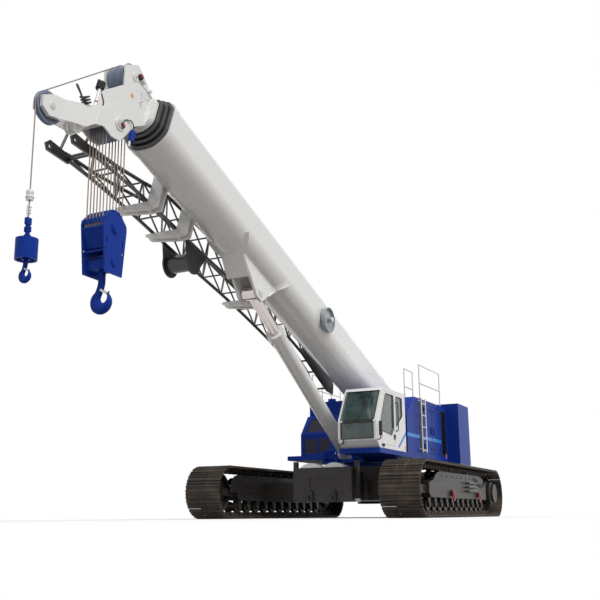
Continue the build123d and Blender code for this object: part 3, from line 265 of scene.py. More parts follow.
class Recipe:
    """The nodes of one finish, round one shader."""

    def __init__(self, name):
        self.material = bpy.data.materials.new(name)
        self.material.use_nodes = True
        self.tree = self.material.node_tree
        self.shader = self.tree.nodes["Principled BSDF"]
        self.place = self.add("TexCoord", out="Object")

    def add(self, kind, settings=None, *values, out=0, **named):
        """One node: its type, its settings, then the values or links of its sockets."""
        node = self.tree.nodes.new("ShaderNode" + kind)
        for key, value in (settings or {}).items():
            setattr(node, key, value)
        sockets = [(node.inputs[index], value) for index, value in enumerate(values)]
        sockets += [(node.inputs[key.replace("_", " ")], value) for key, value in named.items()]
        for socket, value in sockets:
            self.join(socket, value)
        return Wire(self, node.outputs[out])

    def join(self, socket, value):
        """Links a wire to a socket, or sets the socket to a plain value."""
        if isinstance(value, Wire):
            self.tree.links.new(value.socket, socket)
        else:
            socket.default_value = value

    def noise(self, scale, detail=3.0, vector=None):
        """Cloudy values from 0 to 1, `scale` lumps to the metre."""
        vector = self.place if vector is None else vector
        return self.add("TexNoise", None, Vector=vector, Scale=scale, Detail=detail, Roughness=0.5)

    def mix(self, factor, first, second):
        """Blend of two colours."""
        node = self.add("Mix", {"data_type": "RGBA"}, factor, out=2).socket.node
        self.join(node.inputs[6], first)
        self.join(node.inputs[7], second)
        return Wire(self, node.outputs[2])

    def bump(self, height, strength, distance):
        return self.add("Bump", None, Strength=strength, Distance=distance, Height=height)

    def set(self, **values):
        """Feeds or sets the shader's own sockets, and gives the finished material."""
        for key, value in values.items():
            self.join(self.shader.inputs[key.replace("_", " ")], value)
        return self.material


def tint(colour, share=1.0):
    """A colour with its alpha, made lighter or darker by a share."""
    return tuple(min(1.0, channel * share) for channel in colour[:3]) + (1.0,)


print("sockets ready:", ", ".join(name for name in vars(Recipe) if not name.startswith("_")))

# %% [markdown]
# ## Paint
# Machine paint is smooth but never perfect. Three things give it away: a faint cloudiness in the colour,
# dust that settles towards the ground, and an orange-peel ripple that breaks up the highlights. Each is a
# noise at its own scale, in metres.

# %% Painted steel
DUST = (0.23, 0.19, 0.15, 1)
DUST_TOP = 1.6


def paint(name, colour, rough=0.3, coat=0.4, dust=0.25, cloud=0.05, streak=0.12, shine=0.5):
    """Dust is thickest at the ground and gone at DUST_TOP. Streaks are noise drawn out along Z."""
    recipe = Recipe(name)
    clouds = recipe.noise(1.3, 4)
    drawn_out = recipe.add("Mapping", None, Vector=recipe.place, Scale=(1.0, 1.0, 0.12))
    runs = recipe.noise(5.0, 5, drawn_out).between(0.52, 0.80)
    low = 1 - recipe.add("SeparateXYZ", None, recipe.place, out="Z").between(0.0, DUST_TOP)
    settled = (low * recipe.noise(7.0, 6).between(0.30, 0.75) * dust + runs * streak * low).between(0, 1)
    base = recipe.mix(clouds, tint(colour, 1 - cloud), tint(colour, 1 + cloud))
    ripple = recipe.noise(260.0, 2)
    grain = recipe.noise(18.0, 5)
    return recipe.set(Base_Color=recipe.mix(settled, base, DUST),
                      Roughness=grain * 0.14 + settled * 0.5 + (rough - 0.07),
                      Coat_Weight=coat, Coat_Roughness=0.08, IOR=1.5, Specular_IOR_Level=shine,
                      Normal=recipe.bump(ripple, 0.06, 0.002))


WHITE = (0.84, 0.84, 0.83)
BLUE = (0.010, 0.045, 0.330)
FRAME_BLACK = (0.020, 0.018, 0.018)
PAINT_BLACK = (0.022, 0.021, 0.020)
SECTION_BLACK = (0.028, 0.028, 0.030)
GREY = (0.36, 0.40, 0.43)
finishes = {
    "white_paint": paint("white_paint", WHITE, rough=0.27, coat=0.55, dust=0.12, cloud=0.012, streak=0.05),
    "blue_paint": paint("blue_paint", BLUE, rough=0.34, coat=0.02, dust=0.06, cloud=0.06, streak=0.03,
                        shine=0.05),
    "black_frame": paint("black_frame", FRAME_BLACK, rough=0.45, coat=0.1, dust=0.18, cloud=0.2, shine=0.3),
    "black_paint": paint("black_paint", PAINT_BLACK, rough=0.32, coat=0.3, dust=0.1, cloud=0.15),
    "black_section": paint("black_section", SECTION_BLACK, rough=0.35, coat=0.2, dust=0.1, cloud=0.2),
    "grey_paint": paint("grey_paint", GREY, rough=0.35, coat=0.2),
}
print("paints:", ", ".join(finishes))

# %% [markdown]
# ## Bare steel, rope, rubber and glass
# Worked metal is all in the roughness: turned pins show fine rings, cast iron is grainy, a hard-chromed
# rod is almost a mirror. Glass keeps its tint in the base colour and lets the inside through by alpha.

# %% Metals and the rest
def metal(name, colour, rough, grain_scale, grain_height, metallic=1.0, grime=0.2):
    """Grain moves the colour, the roughness and the surface together; grime lies over it in clouds."""
    recipe = Recipe(name)
    grain = recipe.noise(grain_scale, 6)
    dirt = recipe.noise(3.0, 6).between(0.45, 0.75) * grime
    clean = recipe.mix(grain, tint(colour, 0.8), tint(colour, 1.15))
    return recipe.set(Base_Color=recipe.mix(dirt, clean, DUST), Metallic=metallic,
                      Roughness=grain * 0.18 + dirt * 0.4 + (rough - 0.09),
                      Normal=recipe.bump(grain, 0.25, grain_height))


def plain(name, colour, rough, ripple_scale=400.0, ripple=0.08, variation=0.1):
    """Rubber, plastic, vinyl and nylon: a mat surface with a fine moulded grain."""
    recipe = Recipe(name)
    fine = recipe.noise(ripple_scale, 3)
    wide = recipe.noise(6.0, 3)
    return recipe.set(Base_Color=recipe.mix(wide, tint(colour, 1 - variation), tint(colour, 1 + variation)),
                      Roughness=fine * 0.15 + (rough - 0.07),
                      Normal=recipe.bump(fine, ripple, 0.001))


def tinted_glass():
    """Dark green glass with pale teal patches painted in as highlights: where a patch lies, the glass is paler and
    clearer.
    """
    recipe = Recipe("cab_glass")
    glint_patches = recipe.noise(2.2, 4).between(0.35, 0.8)
    # The pale teal colour is a painted highlight, laid on in noise patches over the dark green.
    return recipe.set(Base_Color=recipe.mix(glint_patches, (0.010, 0.030, 0.030, 1), (0.10, 0.22, 0.20, 1)),
                      Alpha=glint_patches * -0.10 + 0.62, Roughness=glint_patches * 0.06 + 0.02, Coat_Weight=1.0,
                      Coat_Roughness=0.02, IOR=1.52)


finishes |= {
    "track_steel": metal("track_steel", (0.060, 0.048, 0.040), 0.62, 60.0, 0.002, metallic=0.35, grime=0.5),
    "engine_iron": metal("engine_iron", (0.12, 0.12, 0.12), 0.6, 90.0, 0.001, metallic=0.4),
    "winch_iron": metal("winch_iron", (0.10, 0.10, 0.11), 0.5, 90.0, 0.001, metallic=0.4),
    "bright_steel": metal("bright_steel", (0.55, 0.54, 0.52), 0.32, 220.0, 0.0004),
    "chrome_rod": metal("chrome_rod", (0.62, 0.57, 0.55), 0.16, 300.0, 0.0001, grime=0.05),
    "wire_rope": metal("wire_rope", (0.33, 0.27, 0.23), 0.5, 500.0, 0.0006, metallic=0.6),
    "sheave_nylon": plain("sheave_nylon", (0.17, 0.21, 0.30), 0.42),
    "dark_mesh": plain("dark_mesh", (0.009, 0.010, 0.034), 0.6),
    "seat_vinyl": plain("seat_vinyl", (0.03, 0.03, 0.035), 0.55, 900.0, 0.3),
    "dark_plastic": plain("dark_plastic", (0.035, 0.035, 0.036), 0.5),
    "cab_glass": tinted_glass(),
}
slots = {row["node"]: row["material_slot"] for row in frame["record"]["subparts"]}
for name, thing in nodes.items():
    thing.data.materials.clear()
    thing.data.materials.append(finishes[slots[name]])
print(len(finishes), "finishes on", len(nodes), "CAD nodes")

# %% [markdown]
# ## Crawler chains
# A crawler is one closed loop of forged links with a steel shoe bolted on each. The loop is a stadium:
# two half circles round the idler and the sprocket, joined by straights. Since every shoe is the same, its
# shape is made once and copied along the loop, turned to follow it. The shoe itself is a profile with
# three grouser bars, carried across the width, with the bars nicked on both sides of the middle.

# %% The loop and the pieces on it
SHOES, SHOE_PITCH, SHOE_HALF = 72, 0.216, 0.457
END_RADIUS, GROUSER, SHOE_PLATE, LINK_HIGH = 0.620, 0.036, 0.022, 0.105
SHOE_TOP = LINK_HIGH / 2 + SHOE_PLATE
IDLER_X, TRACK_Y = 3.150, 2.410
PITCH_RADIUS = END_RADIUS - GROUSER - SHOE_PLATE - LINK_HIGH / 2
STRAIGHT = SHOES * SHOE_PITCH / 2 - pi * PITCH_RADIUS
SPROCKET_X = IDLER_X - STRAIGHT
BOSS_AT, BOSS_RADIUS, LINK_THICK = 0.108, 0.047, 0.032


def on_loop(distance):
    """Places on the pitch line and 3 x 3 turns: row axes along the line, across it, and out of the loop.
    The line runs over the top, round the idler, back below and up round the sprocket."""
    arc = pi * PITCH_RADIUS
    d = np.asarray(distance, float) % (2 * (STRAIGHT + arc))
    front, back = STRAIGHT + arc, 2 * STRAIGHT + arc
    turn = -np.clip((d - STRAIGHT) / PITCH_RADIUS, 0, pi) - np.clip((d - back) / PITCH_RADIUS, 0, pi)
    x = SPROCKET_X + np.clip(d, 0, STRAIGHT) - np.clip(d - front, 0, STRAIGHT) - np.sin(turn) * PITCH_RADIUS
    z = END_RADIUS + PITCH_RADIUS * np.cos(turn)
    none = np.zeros_like(x)
    ahead = np.stack([np.cos(turn), none, np.sin(turn)], -1)
    out = np.stack([-np.sin(turn), none, np.cos(turn)], -1)
    across = np.broadcast_to((0.0, 1.0, 0.0), ahead.shape)
    return np.stack([x, none, z], -1), np.stack([ahead, across, out], 1)


def shoe():
    """The grouser profile (along the shoe, height above the pitch line), its bars lowered in the nicks. The
    rear lip lies flat and the front lip curls under the next shoe, so the chain stays closed on a curve."""
    plate, third, foot, crest = SHOE_TOP, SHOE_PITCH / 3, 0.017, 0.007
    profile = [(-0.126, plate - 0.012), (-0.126, plate)]
    for u in (-third, 0.0, third):
        profile += [(u - foot, plate), (u - crest, plate + GROUSER)]
        profile += [(u + crest, plate + GROUSER), (u + foot, plate)]
    lip = [(0.100, plate - 0.002), (0.124, plate - 0.026), (0.118, plate - 0.034), (0.094, LINK_HIGH / 2)]
    along, height = np.array(profile + lip).T
    nicks = np.array([(0.15, 1), (0.165, 0.45), (0.235, 0.45), (0.25, 1), (0.985, 1), (1.0, 0.75)])
    y, share = np.vstack([nicks[::-1] * (-1, 1), nicks]).T[..., None]
    rise = plate + np.maximum(height - plate, 0) * share + np.minimum(height - plate, 0)
    along, y = np.broadcast_to(along, rise.shape), np.broadcast_to(y * SHOE_HALF, rise.shape)
    return skin(np.stack([along, y, rise], -1))


def link(side):
    """One chain link: two plates with a round boss, the front one outside its neighbour's rear one, and the
    pin through the front boss."""
    shapes = []
    for end, y in ((-1, 0.068), (1, 0.102)):
        v = np.linspace(0, pi, 7) - end * pi / 2
        boss = np.column_stack([end * BOSS_AT + BOSS_RADIUS * np.cos(v), BOSS_RADIUS * np.sin(v)])
        flat = [(-end * 0.012, end * LINK_HIGH / 2), (-end * 0.012, -end * LINK_HIGH / 2)]
        shapes.append(standing(np.vstack([boss, flat]), side * y, side * (y + LINK_THICK)))
    pin = [(0.0, -0.145), (0.020, -0.145), (0.024, -0.14), (0.024, 0.14), (0.020, 0.145), (0.0, 0.145)]
    return shapes + [lathe(pin, (BOSS_AT, 0, 0), (0, 1, 0), 10)]


def bolt(across_flats, high):
    """A hexagon head standing on Z = 0, its top edge chamfered."""
    v = np.arange(6) * pi / 3
    reach = across_flats / 2 / cos(pi / 6)
    rings = [np.column_stack([r * np.cos(v), r * np.sin(v), np.full(6, z)])
             for r, z in ((reach, 0.0), (reach, 0.8 * high), (0.82 * reach, high))]
    return skin(np.stack(rings))


def crawler(side):
    """The shoes, the links below them and eight bolts through each shoe."""
    middle, turns = on_loop((np.arange(SHOES) + 0.5) * SHOE_PITCH)
    middle = middle + (0.0, side * TRACK_Y, 0.0)
    shapes = [copies(shape, middle, turns) for shape in [shoe(), *link(-1), *link(1)]]
    for u in (-0.036, 0.036):
        for v in (-0.16, -0.07, 0.07, 0.16):
            spots = middle + u * turns[:, 0] + v * turns[:, 1] + SHOE_TOP * turns[:, 2]
            shapes.append(copies(bolt(0.030, 0.012), spots, turns))
    return shapes


for name, side in (("left", 1), ("right", -1)):
    piece(f"crawler_chain_{name}", crawler(side), "undercarriage", "track_steel", angle=25,
          instead_of=[f"track_{name}"])
print("crawler chains:", made[-2:])

# %% [markdown]
# ## Wire rope
# A crane's rope is six strands laid round a core. Far away it is a thin dark line, close up the lay shows
# as slanting ridges. Both come from one surface: a ring with six lobes that turns as it goes along.

# %% Rope as a six-lobed ring that turns along a path
ROPE, LAY, RING_STEP, RING_SIDES = 0.011, 0.09, 0.013, 18
FALL_PAIRS, FALL_GAP = 6, 0.064


def wire(path):
    """ROPE * (0.8 + 0.2 |cos 3(v - turn)|). The turn grows along the path, by one lobe in each LAY."""
    path = np.asarray(path, float)
    lengths = np.concatenate([[0], np.cumsum(np.linalg.norm(np.diff(path, axis=0), axis=1))])
    s = np.linspace(0, lengths[-1], max(2, int(lengths[-1] / RING_STEP)) + 1)
    path = np.column_stack([np.interp(s, lengths, path[:, k]) for k in range(3)])
    side, up = squares(path)
    v = np.linspace(0, 2 * pi, RING_SIDES, endpoint=False)[None, :, None]
    turn = 2 * pi * s[:, None, None] / LAY / 6
    reach = ROPE * (0.80 + 0.20 * np.abs(np.cos(3 * (v - turn))))
    return skin(path[:, None] + reach * (np.cos(v) * side[:, None] + np.sin(v) * up[:, None]))


foot = np.array(joints["boom_lower"]["pos_m"])
ALONG = np.array(joints["telescope_2"]["axis"])
SQUARE = np.array((-ALONG[2], 0.0, ALONG[0]))


def on_boom(points):
    """Rows of (along the boom, across it, square to it) from the foot pin, as places in the frame."""
    points = np.asarray(points, float)
    return foot + points[..., :1] * ALONG + points[..., 1:2] * (0.0, 1.0, 0.0) + points[..., 2:] * SQUARE


main_pin, block_pin, aux_pin, ball_pin = (np.array(joints[name]["pos_m"]) for name in (
    "main_falls_raise", "block_sheaves_turn", "aux_rope_raise", "hook_ball_swing"))
falls_low, falls_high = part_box("main_falls")
fall_x = (falls_high[0] - falls_low[0]) / 2 - ROPE
falls = [wire([(main_pin[0] + x, y, block_pin[2]), (main_pin[0] + x, y, main_pin[2])])
         for y in (np.arange(FALL_PAIRS) - (FALL_PAIRS - 1) / 2) * FALL_GAP for x in (-fall_x, fall_x)]
piece("main_rope_falls", falls, "main_falls", "wire_rope", angle=60, instead_of=["main_falls"])
aux_low, aux_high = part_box("aux_rope")
aux_x = (aux_low[0] + aux_high[0]) / 2
piece("aux_rope_fall", [wire([(aux_x, 0, aux_low[2]), (aux_x, 0, aux_high[2])])], "aux_rope", "wire_rope",
      angle=60, instead_of=["aux_rope"])
print("ropes:", made[-2:])

# %% [markdown]
# ## Forged hooks
# A hook is a bar whose section changes all the way: round at the shank, deep and wedge-shaped at the back of
# the bowl, thin at the tip. Each section is a ring between the round bowl and the round outer edge, and the
# ring narrows towards the tip, so one surface of two angles gives the whole hook.

# %% Hooks, the nut and safety latches
BOWL_AT = np.array((0.30, 0.34))
TIP_LEAN = np.array((0.0, 0.024, 0.036)) / 0.195


def signed_power(values, power):
    """|value| to a power, with the value's own sign."""
    return np.sign(values) * np.abs(values) ** power


def forged_hook(x, low, size, bowl, shank, thick, top):
    """u runs from the tip round the bowl to the neck, v round the section. The inner edge is the bowl, the
    outer edge is where a ray from the bowl's middle meets the outer circle."""
    offset = BOWL_AT * size
    middle_y, middle_z = offset + (0.0, low + size)
    u = np.radians(np.linspace(42, -212, 46))
    ray = np.column_stack([np.cos(u), np.sin(u)])
    b = ray @ offset
    outer = -b + np.sqrt(b ** 2 - offset @ offset + size ** 2)
    share = np.linspace(0, 1, len(u))
    from_tip, to_neck = np.clip(share / 0.3, 0, 1), np.clip((share - 0.6) / 0.4, 0, 1)
    half = thick * (0.45 + 0.55 * from_tip) * (1 - 0.12 * to_neck)
    v = np.linspace(0, 2 * pi, 20, endpoint=False)
    deep, broad = signed_power(np.cos(v), 0.8), signed_power(np.sin(v), 0.75)
    reach = ((bowl + outer) / 2)[:, None] + ((outer - bowl) / 2)[:, None] * deep
    wide = half[:, None] * broad * (1 + 0.12 * deep)
    rings = np.stack([x + wide, middle_y + reach * ray[:, :1], middle_z + reach * ray[:, 1:]], -1)
    tip = rings[0] + (rings[0].mean(axis=0) - rings[0]) * 0.45 + TIP_LEAN * size
    circle = np.stack([x + shank * broad, -shank * deep, np.zeros(len(v))], -1)
    neck = circle + (0, 0, low + size + 1.42 * size)
    shoulders = [rings[-1] * (1 - share) + neck * share for share in (0.35, 0.75)]
    shank_rings = [circle + (0, 0, z) for z in (low + size + 1.62 * size, top)]
    return skin(np.concatenate([tip[None], rings, shoulders, shank_rings]))


def latch(x, low, size, bowl, thick):
    """A folded plate from the neck down to the tip, with its pivot bolt."""
    middle = BOWL_AT * size + (0.0, low + size)
    pivot = middle + np.array((-0.62, 1.75)) * bowl
    end = middle + np.array((1.02, 0.62)) * bowl
    ahead = bowl * unit(end - pivot)
    up = np.array((-ahead[1], ahead[0]))
    cheek = [pivot - 0.20 * ahead, pivot + 0.24 * up, end + 0.16 * up, end - 0.10 * up, pivot - 0.24 * up]
    top = [pivot + 0.24 * up, end + 0.16 * up, end + 0.12 * up, pivot + 0.20 * up]
    half = 0.62 * thick
    shapes = [prism(np.insert(cheek, 0, x + hand * half, axis=1), (hand * 0.006, 0, 0)) for hand in (-1, 1)]
    shapes.append(prism(np.insert(top, 0, x - half, axis=1), (2 * half, 0, 0)))
    pin = 0.8 * thick
    shapes.append(lathe([(0.0, -pin), (0.009, -pin), (0.009, pin), (0.0, pin)], (x, *pivot), (1, 0, 0), 12))
    return shapes


NUT = [(0.054, 0.0), (0.084, 0.0), (0.088, 0.006), (0.088, 0.052), (0.080, 0.064), (0.0, 0.064)]
hooks = {"main_hook": (block_pin[0], 0.195, 0.076, 0.055, 0.060, 0.05),
         "aux_hook": (ball_pin[0], 0.104, 0.040, 0.032, 0.033, 0.0)}
for name, (x, size, bowl, shank, thick, below_top) in hooks.items():
    low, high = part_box(name)
    forging = [forged_hook(x, low[2], size, bowl, shank, thick, high[2] - below_top)]
    if name == "main_hook":
        forging.append(lathe(NUT, (x, 0, high[2] - 0.064), (0, 0, 1), 24))
    piece(f"{name}_forging", forging, name, "blue_paint", angle=50, instead_of=[name])
    piece(f"{name}_latch", latch(x, low[2], size, bowl, thick), name, "bright_steel")
print("hooks:", made[-4:])

# %% [markdown]
# ## Undercarriage trims
# The track frames carry guard plates that close most of the space under the upper run, towing shackles
# hang in the side eyes, and white tips stand on the carbody's corner posts. Every trim rides on the CAD
# body it is bolted to.

# %% Guards, shackles, treads, hoses, post tips and tags below the deck
finishes |= {
    "red": paint("red_paint", (0.42, 0.012, 0.010), rough=0.35, coat=0.3),
    "orange": paint("orange_paint", (0.80, 0.33, 0.03), rough=0.35, coat=0.3, dust=0.05),
    "light_blue": paint("light_blue_paint", (0.020, 0.26, 0.72), rough=0.3, coat=0.1, dust=0.02, shine=0.15),
    "rubber": plain("black_rubber", (0.012, 0.012, 0.012), 0.5),
    "lamp_red": plain("lamp_red", (0.35, 0.01, 0.008), 0.12, variation=0.05),
    "lamp_clear": plain("lamp_clear", (0.62, 0.64, 0.66), 0.1, variation=0.05),
    "gasket": plain("window_gasket", (0.012, 0.012, 0.013), 0.55),
}
UNDER = ("undercarriage", "black_frame")
FRAME_SIDE = 0.290
OUTER_GUARD = [(2.30, 0.81), (2.12, 0.93), (1.95, 1.00), (1.60, 1.035), (-1.75, 1.035), (-2.05, 0.98),
               (-2.30, 0.86), (-2.42, 0.79), (-1.90, 0.83), (1.70, 0.83)]
INNER_GUARD = [(2.96, 0.62), (2.92, 0.86), (2.78, 1.00), (2.60, 1.045), (-1.95, 1.045), (-2.42, 0.95),
               (-2.55, 0.62)]
GUARD_BOLTS_X, GUARD_BOLTS_Z = np.arange(-1.6, 1.7, 0.4), 0.93
SIDE_SHACKLES_X, SIDE_SHACKLES_Z = (0.90, -1.50), 0.585
STEPS_Z = (0.62, 0.72, 0.82)
HOSE_ROUTE = [(-2.62, -0.06, 0.80), (-2.38, 0.02, 0.86), (-2.05, 0.025, 0.76), (-1.62, 0.02, 0.80),
              (-1.30, 0.018, 0.90), (-1.10, -0.01, 0.94)]
END_SHACKLE_TURN = [(0, 1, 0), (1, 0, 0), (0, 0, 1)]


def bow(middle, half, drop, radius, turn=np.eye(3)):
    """A shackle: the bent bar from one end of its pin round to the other, and the pin with its two heads."""
    v = np.linspace(0, pi, 15)
    arc = np.column_stack([half * np.cos(v), 0 * v, -drop + half - half * np.sin(v)])
    path = np.vstack([[(half * 0.72, 0, 0.0)], arc, [(-half * 0.72, 0, 0.0)]])
    pin = np.outer((-1.15, -0.4, 0.4, 1.15), (half, 0, 0))
    return [tube(path @ turn + middle, radius, 10), tube(pin @ turn + middle, radius * 0.95, 10)]


for name, side in (("left", 1), ("right", -1)):
    outer, inner = side * (TRACK_Y + FRAME_SIDE), side * (TRACK_Y - FRAME_SIDE)
    bolts_at = [(x, outer + side * 0.004, GUARD_BOLTS_Z) for x in GUARD_BOLTS_X]
    guards = [standing(OUTER_GUARD, outer - side * 0.014, outer + side * 0.004),
              standing(INNER_GUARD, inner - side * 0.012, inner - side * 0.002),
              copies(bolt(0.034, 0.014), bolts_at, [[(1, 0, 0), (0, 0, 1), (0, side, 0)]])]
    piece(f"track_guards_{name}", guards, *UNDER, bevel=0.003)
    towing = []
    for x in SIDE_SHACKLES_X:
        towing += bow((x, outer + side * 0.062, SIDE_SHACKLES_Z), 0.062, 0.20, 0.019)
        ends = [(x, outer + side * out, SIDE_SHACKLES_Z) for out in (-0.01, 0.085)]
        towing.append(tube(ends, 0.020, 12))
    piece(f"towing_shackles_{name}", towing, *UNDER, "red")
    treads = [box((-1.205, outer + side * 0.052, z + 0.019), (-0.345, outer + side * 0.116, z + 0.024))
              for z in STEPS_Z]
    piece(f"step_treads_{name}", treads, "undercarriage", "bright_steel")
    hoses = [tube(curve([(x, outer + side * out, z + lift) for x, out, z in HOSE_ROUTE], 6), 0.017, 10)
             for lift in (0.0, 0.045)]
    piece(f"travel_hoses_{name}", hoses, *UNDER, "rubber")

end_shackles = []
for end in (1, -1):
    for y in (-0.30, 0.30):
        end_shackles.append(box((end * 2.302, y - 0.022, 0.50), (end * 2.36, y + 0.022, 0.66)))
        end_shackles += bow((end * 2.352, y, 0.60), 0.060, 0.21, 0.020, END_SHACKLE_TURN)
piece("carbody_towing_shackles", end_shackles, *UNDER, "rubber")
tips = [box((x - 0.058, y - 0.049, 0.372), (x + 0.058, y + 0.049, 0.440))
        for x in (2.05, -2.05) for y in (-0.795, 0.795)]
piece("corner_post_tips", tips, "undercarriage", "white_paint", bevel=0.004)
inner = TRACK_Y - FRAME_SIDE
tags = [box((1.30, side * (inner - 0.002), 0.66), (1.42, side * (inner - 0.006), 0.74)) for side in (-1, 1)]
piece("orange_tags_below", tags, *UNDER, "orange")
print("undercarriage trims:", [name for name, _ in made[-11:]])

# %% [markdown]
# ## Housing and cab trims
# A light blue stripe climbs across the corner of the cab and runs level to the rear. It crosses two doors
# that open, so it is four pieces, each riding on what it is painted on. The window rubbers are round cords
# laid along the panes' own outlines.

# %% Stripe, catches, painted shade of the ladder recess, tags, rubbers, wiper, mirror, handles and lamp
HOUSING = ("superstructure", "blue_paint")
CAB = ("superstructure", "dark_plastic")
HOUSE_Y, CAB_Y, CAB_RIGHT = 1.594, 1.58, 0.64
STRIPE_LOW, STRIPE_HIGH, STRIPE_THICK = 1.97, 2.06, 0.0015
CATCHES_Z, CATCH_INSET = (1.76, 2.78), 0.10
CORD = 0.009
KNUCKLE = CORD * np.array([(0.0, -1.0), (0.7, -0.7), (1.0, 0.0), (0.7, 0.7), (0.0, 1.0)])


def stripe(x0, x1):
    """A level stretch of the stripe on the housing's left side."""
    outline = [(x0, STRIPE_LOW), (x0, STRIPE_HIGH), (x1, STRIPE_HIGH), (x1, STRIPE_LOW)]
    return standing(outline, HOUSE_Y, HOUSE_Y + STRIPE_THICK)


def bars_round(ring, radius):
    """A straight bar along each side of a closed ring of points."""
    ring = np.array(ring)
    return [tube([a, (a + b) / 2, b], radius, 8) for a, b in zip(ring, np.roll(ring, -1, axis=0))]


def cord(outline, y):
    """A round rubber laid along a closed outline in X and Z, with a knuckle at each corner."""
    ring = [(x, y, z) for x, z in outline]
    return bars_round(ring, CORD) + [lathe(KNUCKLE, corner, (0, 1, 0), 10) for corner in ring]


piece("stripe_housing", [stripe(0.655, -0.695), stripe(-2.16, -2.225)], *HOUSING, "light_blue")
for name in ("front", "rear"):
    door = f"engine_door_{name}"
    (x0, *_), (x1, *_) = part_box(door)
    piece(f"stripe_door_{name}", [stripe(x0 + 0.004, x1 - 0.004)], door, "blue_paint", "light_blue")
    catches = [box((x - 0.022, HOUSE_Y, z - 0.035), (x + 0.022, HOUSE_Y + 0.014, z + 0.035))
               for x in (x0 + CATCH_INSET, x1 - CATCH_INSET) for z in CATCHES_Z]
    piece(f"door_catches_{name}", catches, door, "blue_paint", "rubber", bevel=0.003)

# The ladder recess is not cut in: a flat black sheet on the housing's left side is painted shade where it lies.
recess = [(-0.615, 1.64), (-0.325, 1.64), (-0.325, 3.00), (-0.615, 3.00)]
piece("ladder_recess", [standing(recess, HOUSE_Y, HOUSE_Y + 0.004)], *HOUSING, "gasket")
house_tags = [box((-2.69, HOUSE_Y, 1.585), (-2.61, HOUSE_Y + 0.002, 1.72)),
              box((0.755, 1.5805, 1.585), (0.82, 1.5825, 1.71))]
piece("orange_tags_housing", house_tags, *HOUSING, "orange")

door_window = [(1.59, 2.08), (1.76, 1.90), (2.46, 1.96), (2.48, 2.19), (2.15, 2.80), (2.10, 2.85),
               (1.59, 2.85)]
rear_window = [(0.98, 2.42), (1.40, 2.13), (1.40, 2.85), (0.98, 2.85)]
far_window = [(0.98, 2.20), (2.40, 2.00), (2.52, 2.20), (2.20, 2.80), (0.98, 2.85)]
piece("cab_window_rubbers", cord(rear_window, CAB_Y + 0.001) + cord(far_window, CAB_RIGHT - 0.001), *CAB,
      "gasket", angle=50)
piece("cab_door_rubber", cord(door_window, CAB_Y + 0.001), "cab_door", "dark_plastic", "gasket", angle=50)
low_pane = [(2.781, 0.71, 1.76), (2.781, 1.51, 1.76), (2.781, 1.51, 2.13), (2.781, 0.71, 2.13)]
high_pane = [(2.762, 0.70, 2.19), (2.762, 1.52, 2.19), (2.332, 1.52, 2.898), (2.332, 0.70, 2.898)]
front = bars_round(low_pane, 0.010) + bars_round(high_pane, 0.010)
piece("cab_front_rubbers", front, *CAB, "gasket", angle=50)

slope = unit(np.array((2.332 - 2.762, 0.0, 2.898 - 2.19)))
outward = np.array((slope[2], 0.0, -slope[0]))
pivot = np.array((2.762, 1.11, 2.165)) + 0.045 * outward
tip = pivot + slope * 0.55 + (0.0, 0.16, 0.0)
blade = [tip - slope * 0.22 + 0.002 * outward, tip, tip + slope * 0.24 + 0.002 * outward]
hub = [(0.0, -0.04), (0.028, -0.04), (0.028, 0.016), (0.018, 0.024), (0.0, 0.024)]
wiper = [tube([pivot - (0, 0.02, 0), pivot + slope * 0.3 + (0, 0.09, 0), tip], 0.009, 8),
         tube(np.array(blade) - 0.014 * outward, 0.010, 8), lathe(hub, pivot, outward, 16)]
piece("cab_wiper", wiper, *CAB, "gasket")
arm = [(2.70, CAB_Y - 0.02, 1.72), (2.735, CAB_Y + 0.07, 1.74), (2.735, CAB_Y + 0.09, 1.84)]
mirror = [tube(arm, 0.013, 10), box((2.715, CAB_Y + 0.050, 1.82), (2.755, CAB_Y + 0.125, 2.14))]
piece("cab_mirrors", mirror, *CAB, "rubber", bevel=0.008)
mirror_glass = box((2.7145, CAB_Y + 0.058, 1.835), (2.7155, CAB_Y + 0.117, 2.125))
piece("cab_mirror_glass", [mirror_glass], *CAB, "chrome_rod")
rail = [(0.0, 2.02), (0.055, 2.05), (0.06, 2.36), (0.055, 2.67), (0.0, 2.70)]
grabs = [tube(curve([(1.44, CAB_Y + out, z) for out, z in rail], 6), 0.013, 10),
         box((2.30, CAB_Y + 0.002, 1.60), (2.42, CAB_Y + 0.03, 1.66))]
piece("cab_grab_handle", grabs, *CAB, "rubber")
handle = [box((1.545, CAB_Y, 1.80), (1.60, CAB_Y + 0.012, 1.93)),
          box((1.555, CAB_Y + 0.010, 1.84), (1.59, CAB_Y + 0.030, 1.91))]
piece("cab_door_handle", handle, "cab_door", "dark_plastic", "rubber", bevel=0.004)
piece("cab_front_bar", [box((2.776, 0.76, 2.136), (2.790, 1.50, 2.186))], *CAB, "gasket", bevel=0.004)
lamp_at = (2.775, 0.73, 1.70)
lamp_body = [(0.0, 0.0), (0.045, 0.0), (0.066, 0.02), (0.066, 0.075), (0.060, 0.085), (0.0, 0.085)]
lamp_lens = [(0.0, 0.0852), (0.052, 0.0852), (0.040, 0.094), (0.0, 0.097)]
piece("cab_low_lamp", [lathe(lamp_body, lamp_at, (1, 0, 0), 24)], *CAB, "rubber")
piece("cab_low_lamp_lens", [lathe(lamp_lens, lamp_at, (1, 0, 0), 24)], *CAB, "lamp_clear")
climb = [(1.350, 1.640), (1.240, 1.640), (0.742, 1.975), (0.742, 2.065)]
piece("stripe_cab", [standing(climb, CAB_Y, CAB_Y + STRIPE_THICK)], "superstructure", "white_paint",
      "light_blue")
panel = box((0.085, -0.600, 1.580), (0.100, -0.385, 1.920))
piece("bay_grey_panel", [panel], "superstructure", "grey_paint", bevel=0.003)
print("housing and cab trims:", [name for name, _ in made[-20:]])

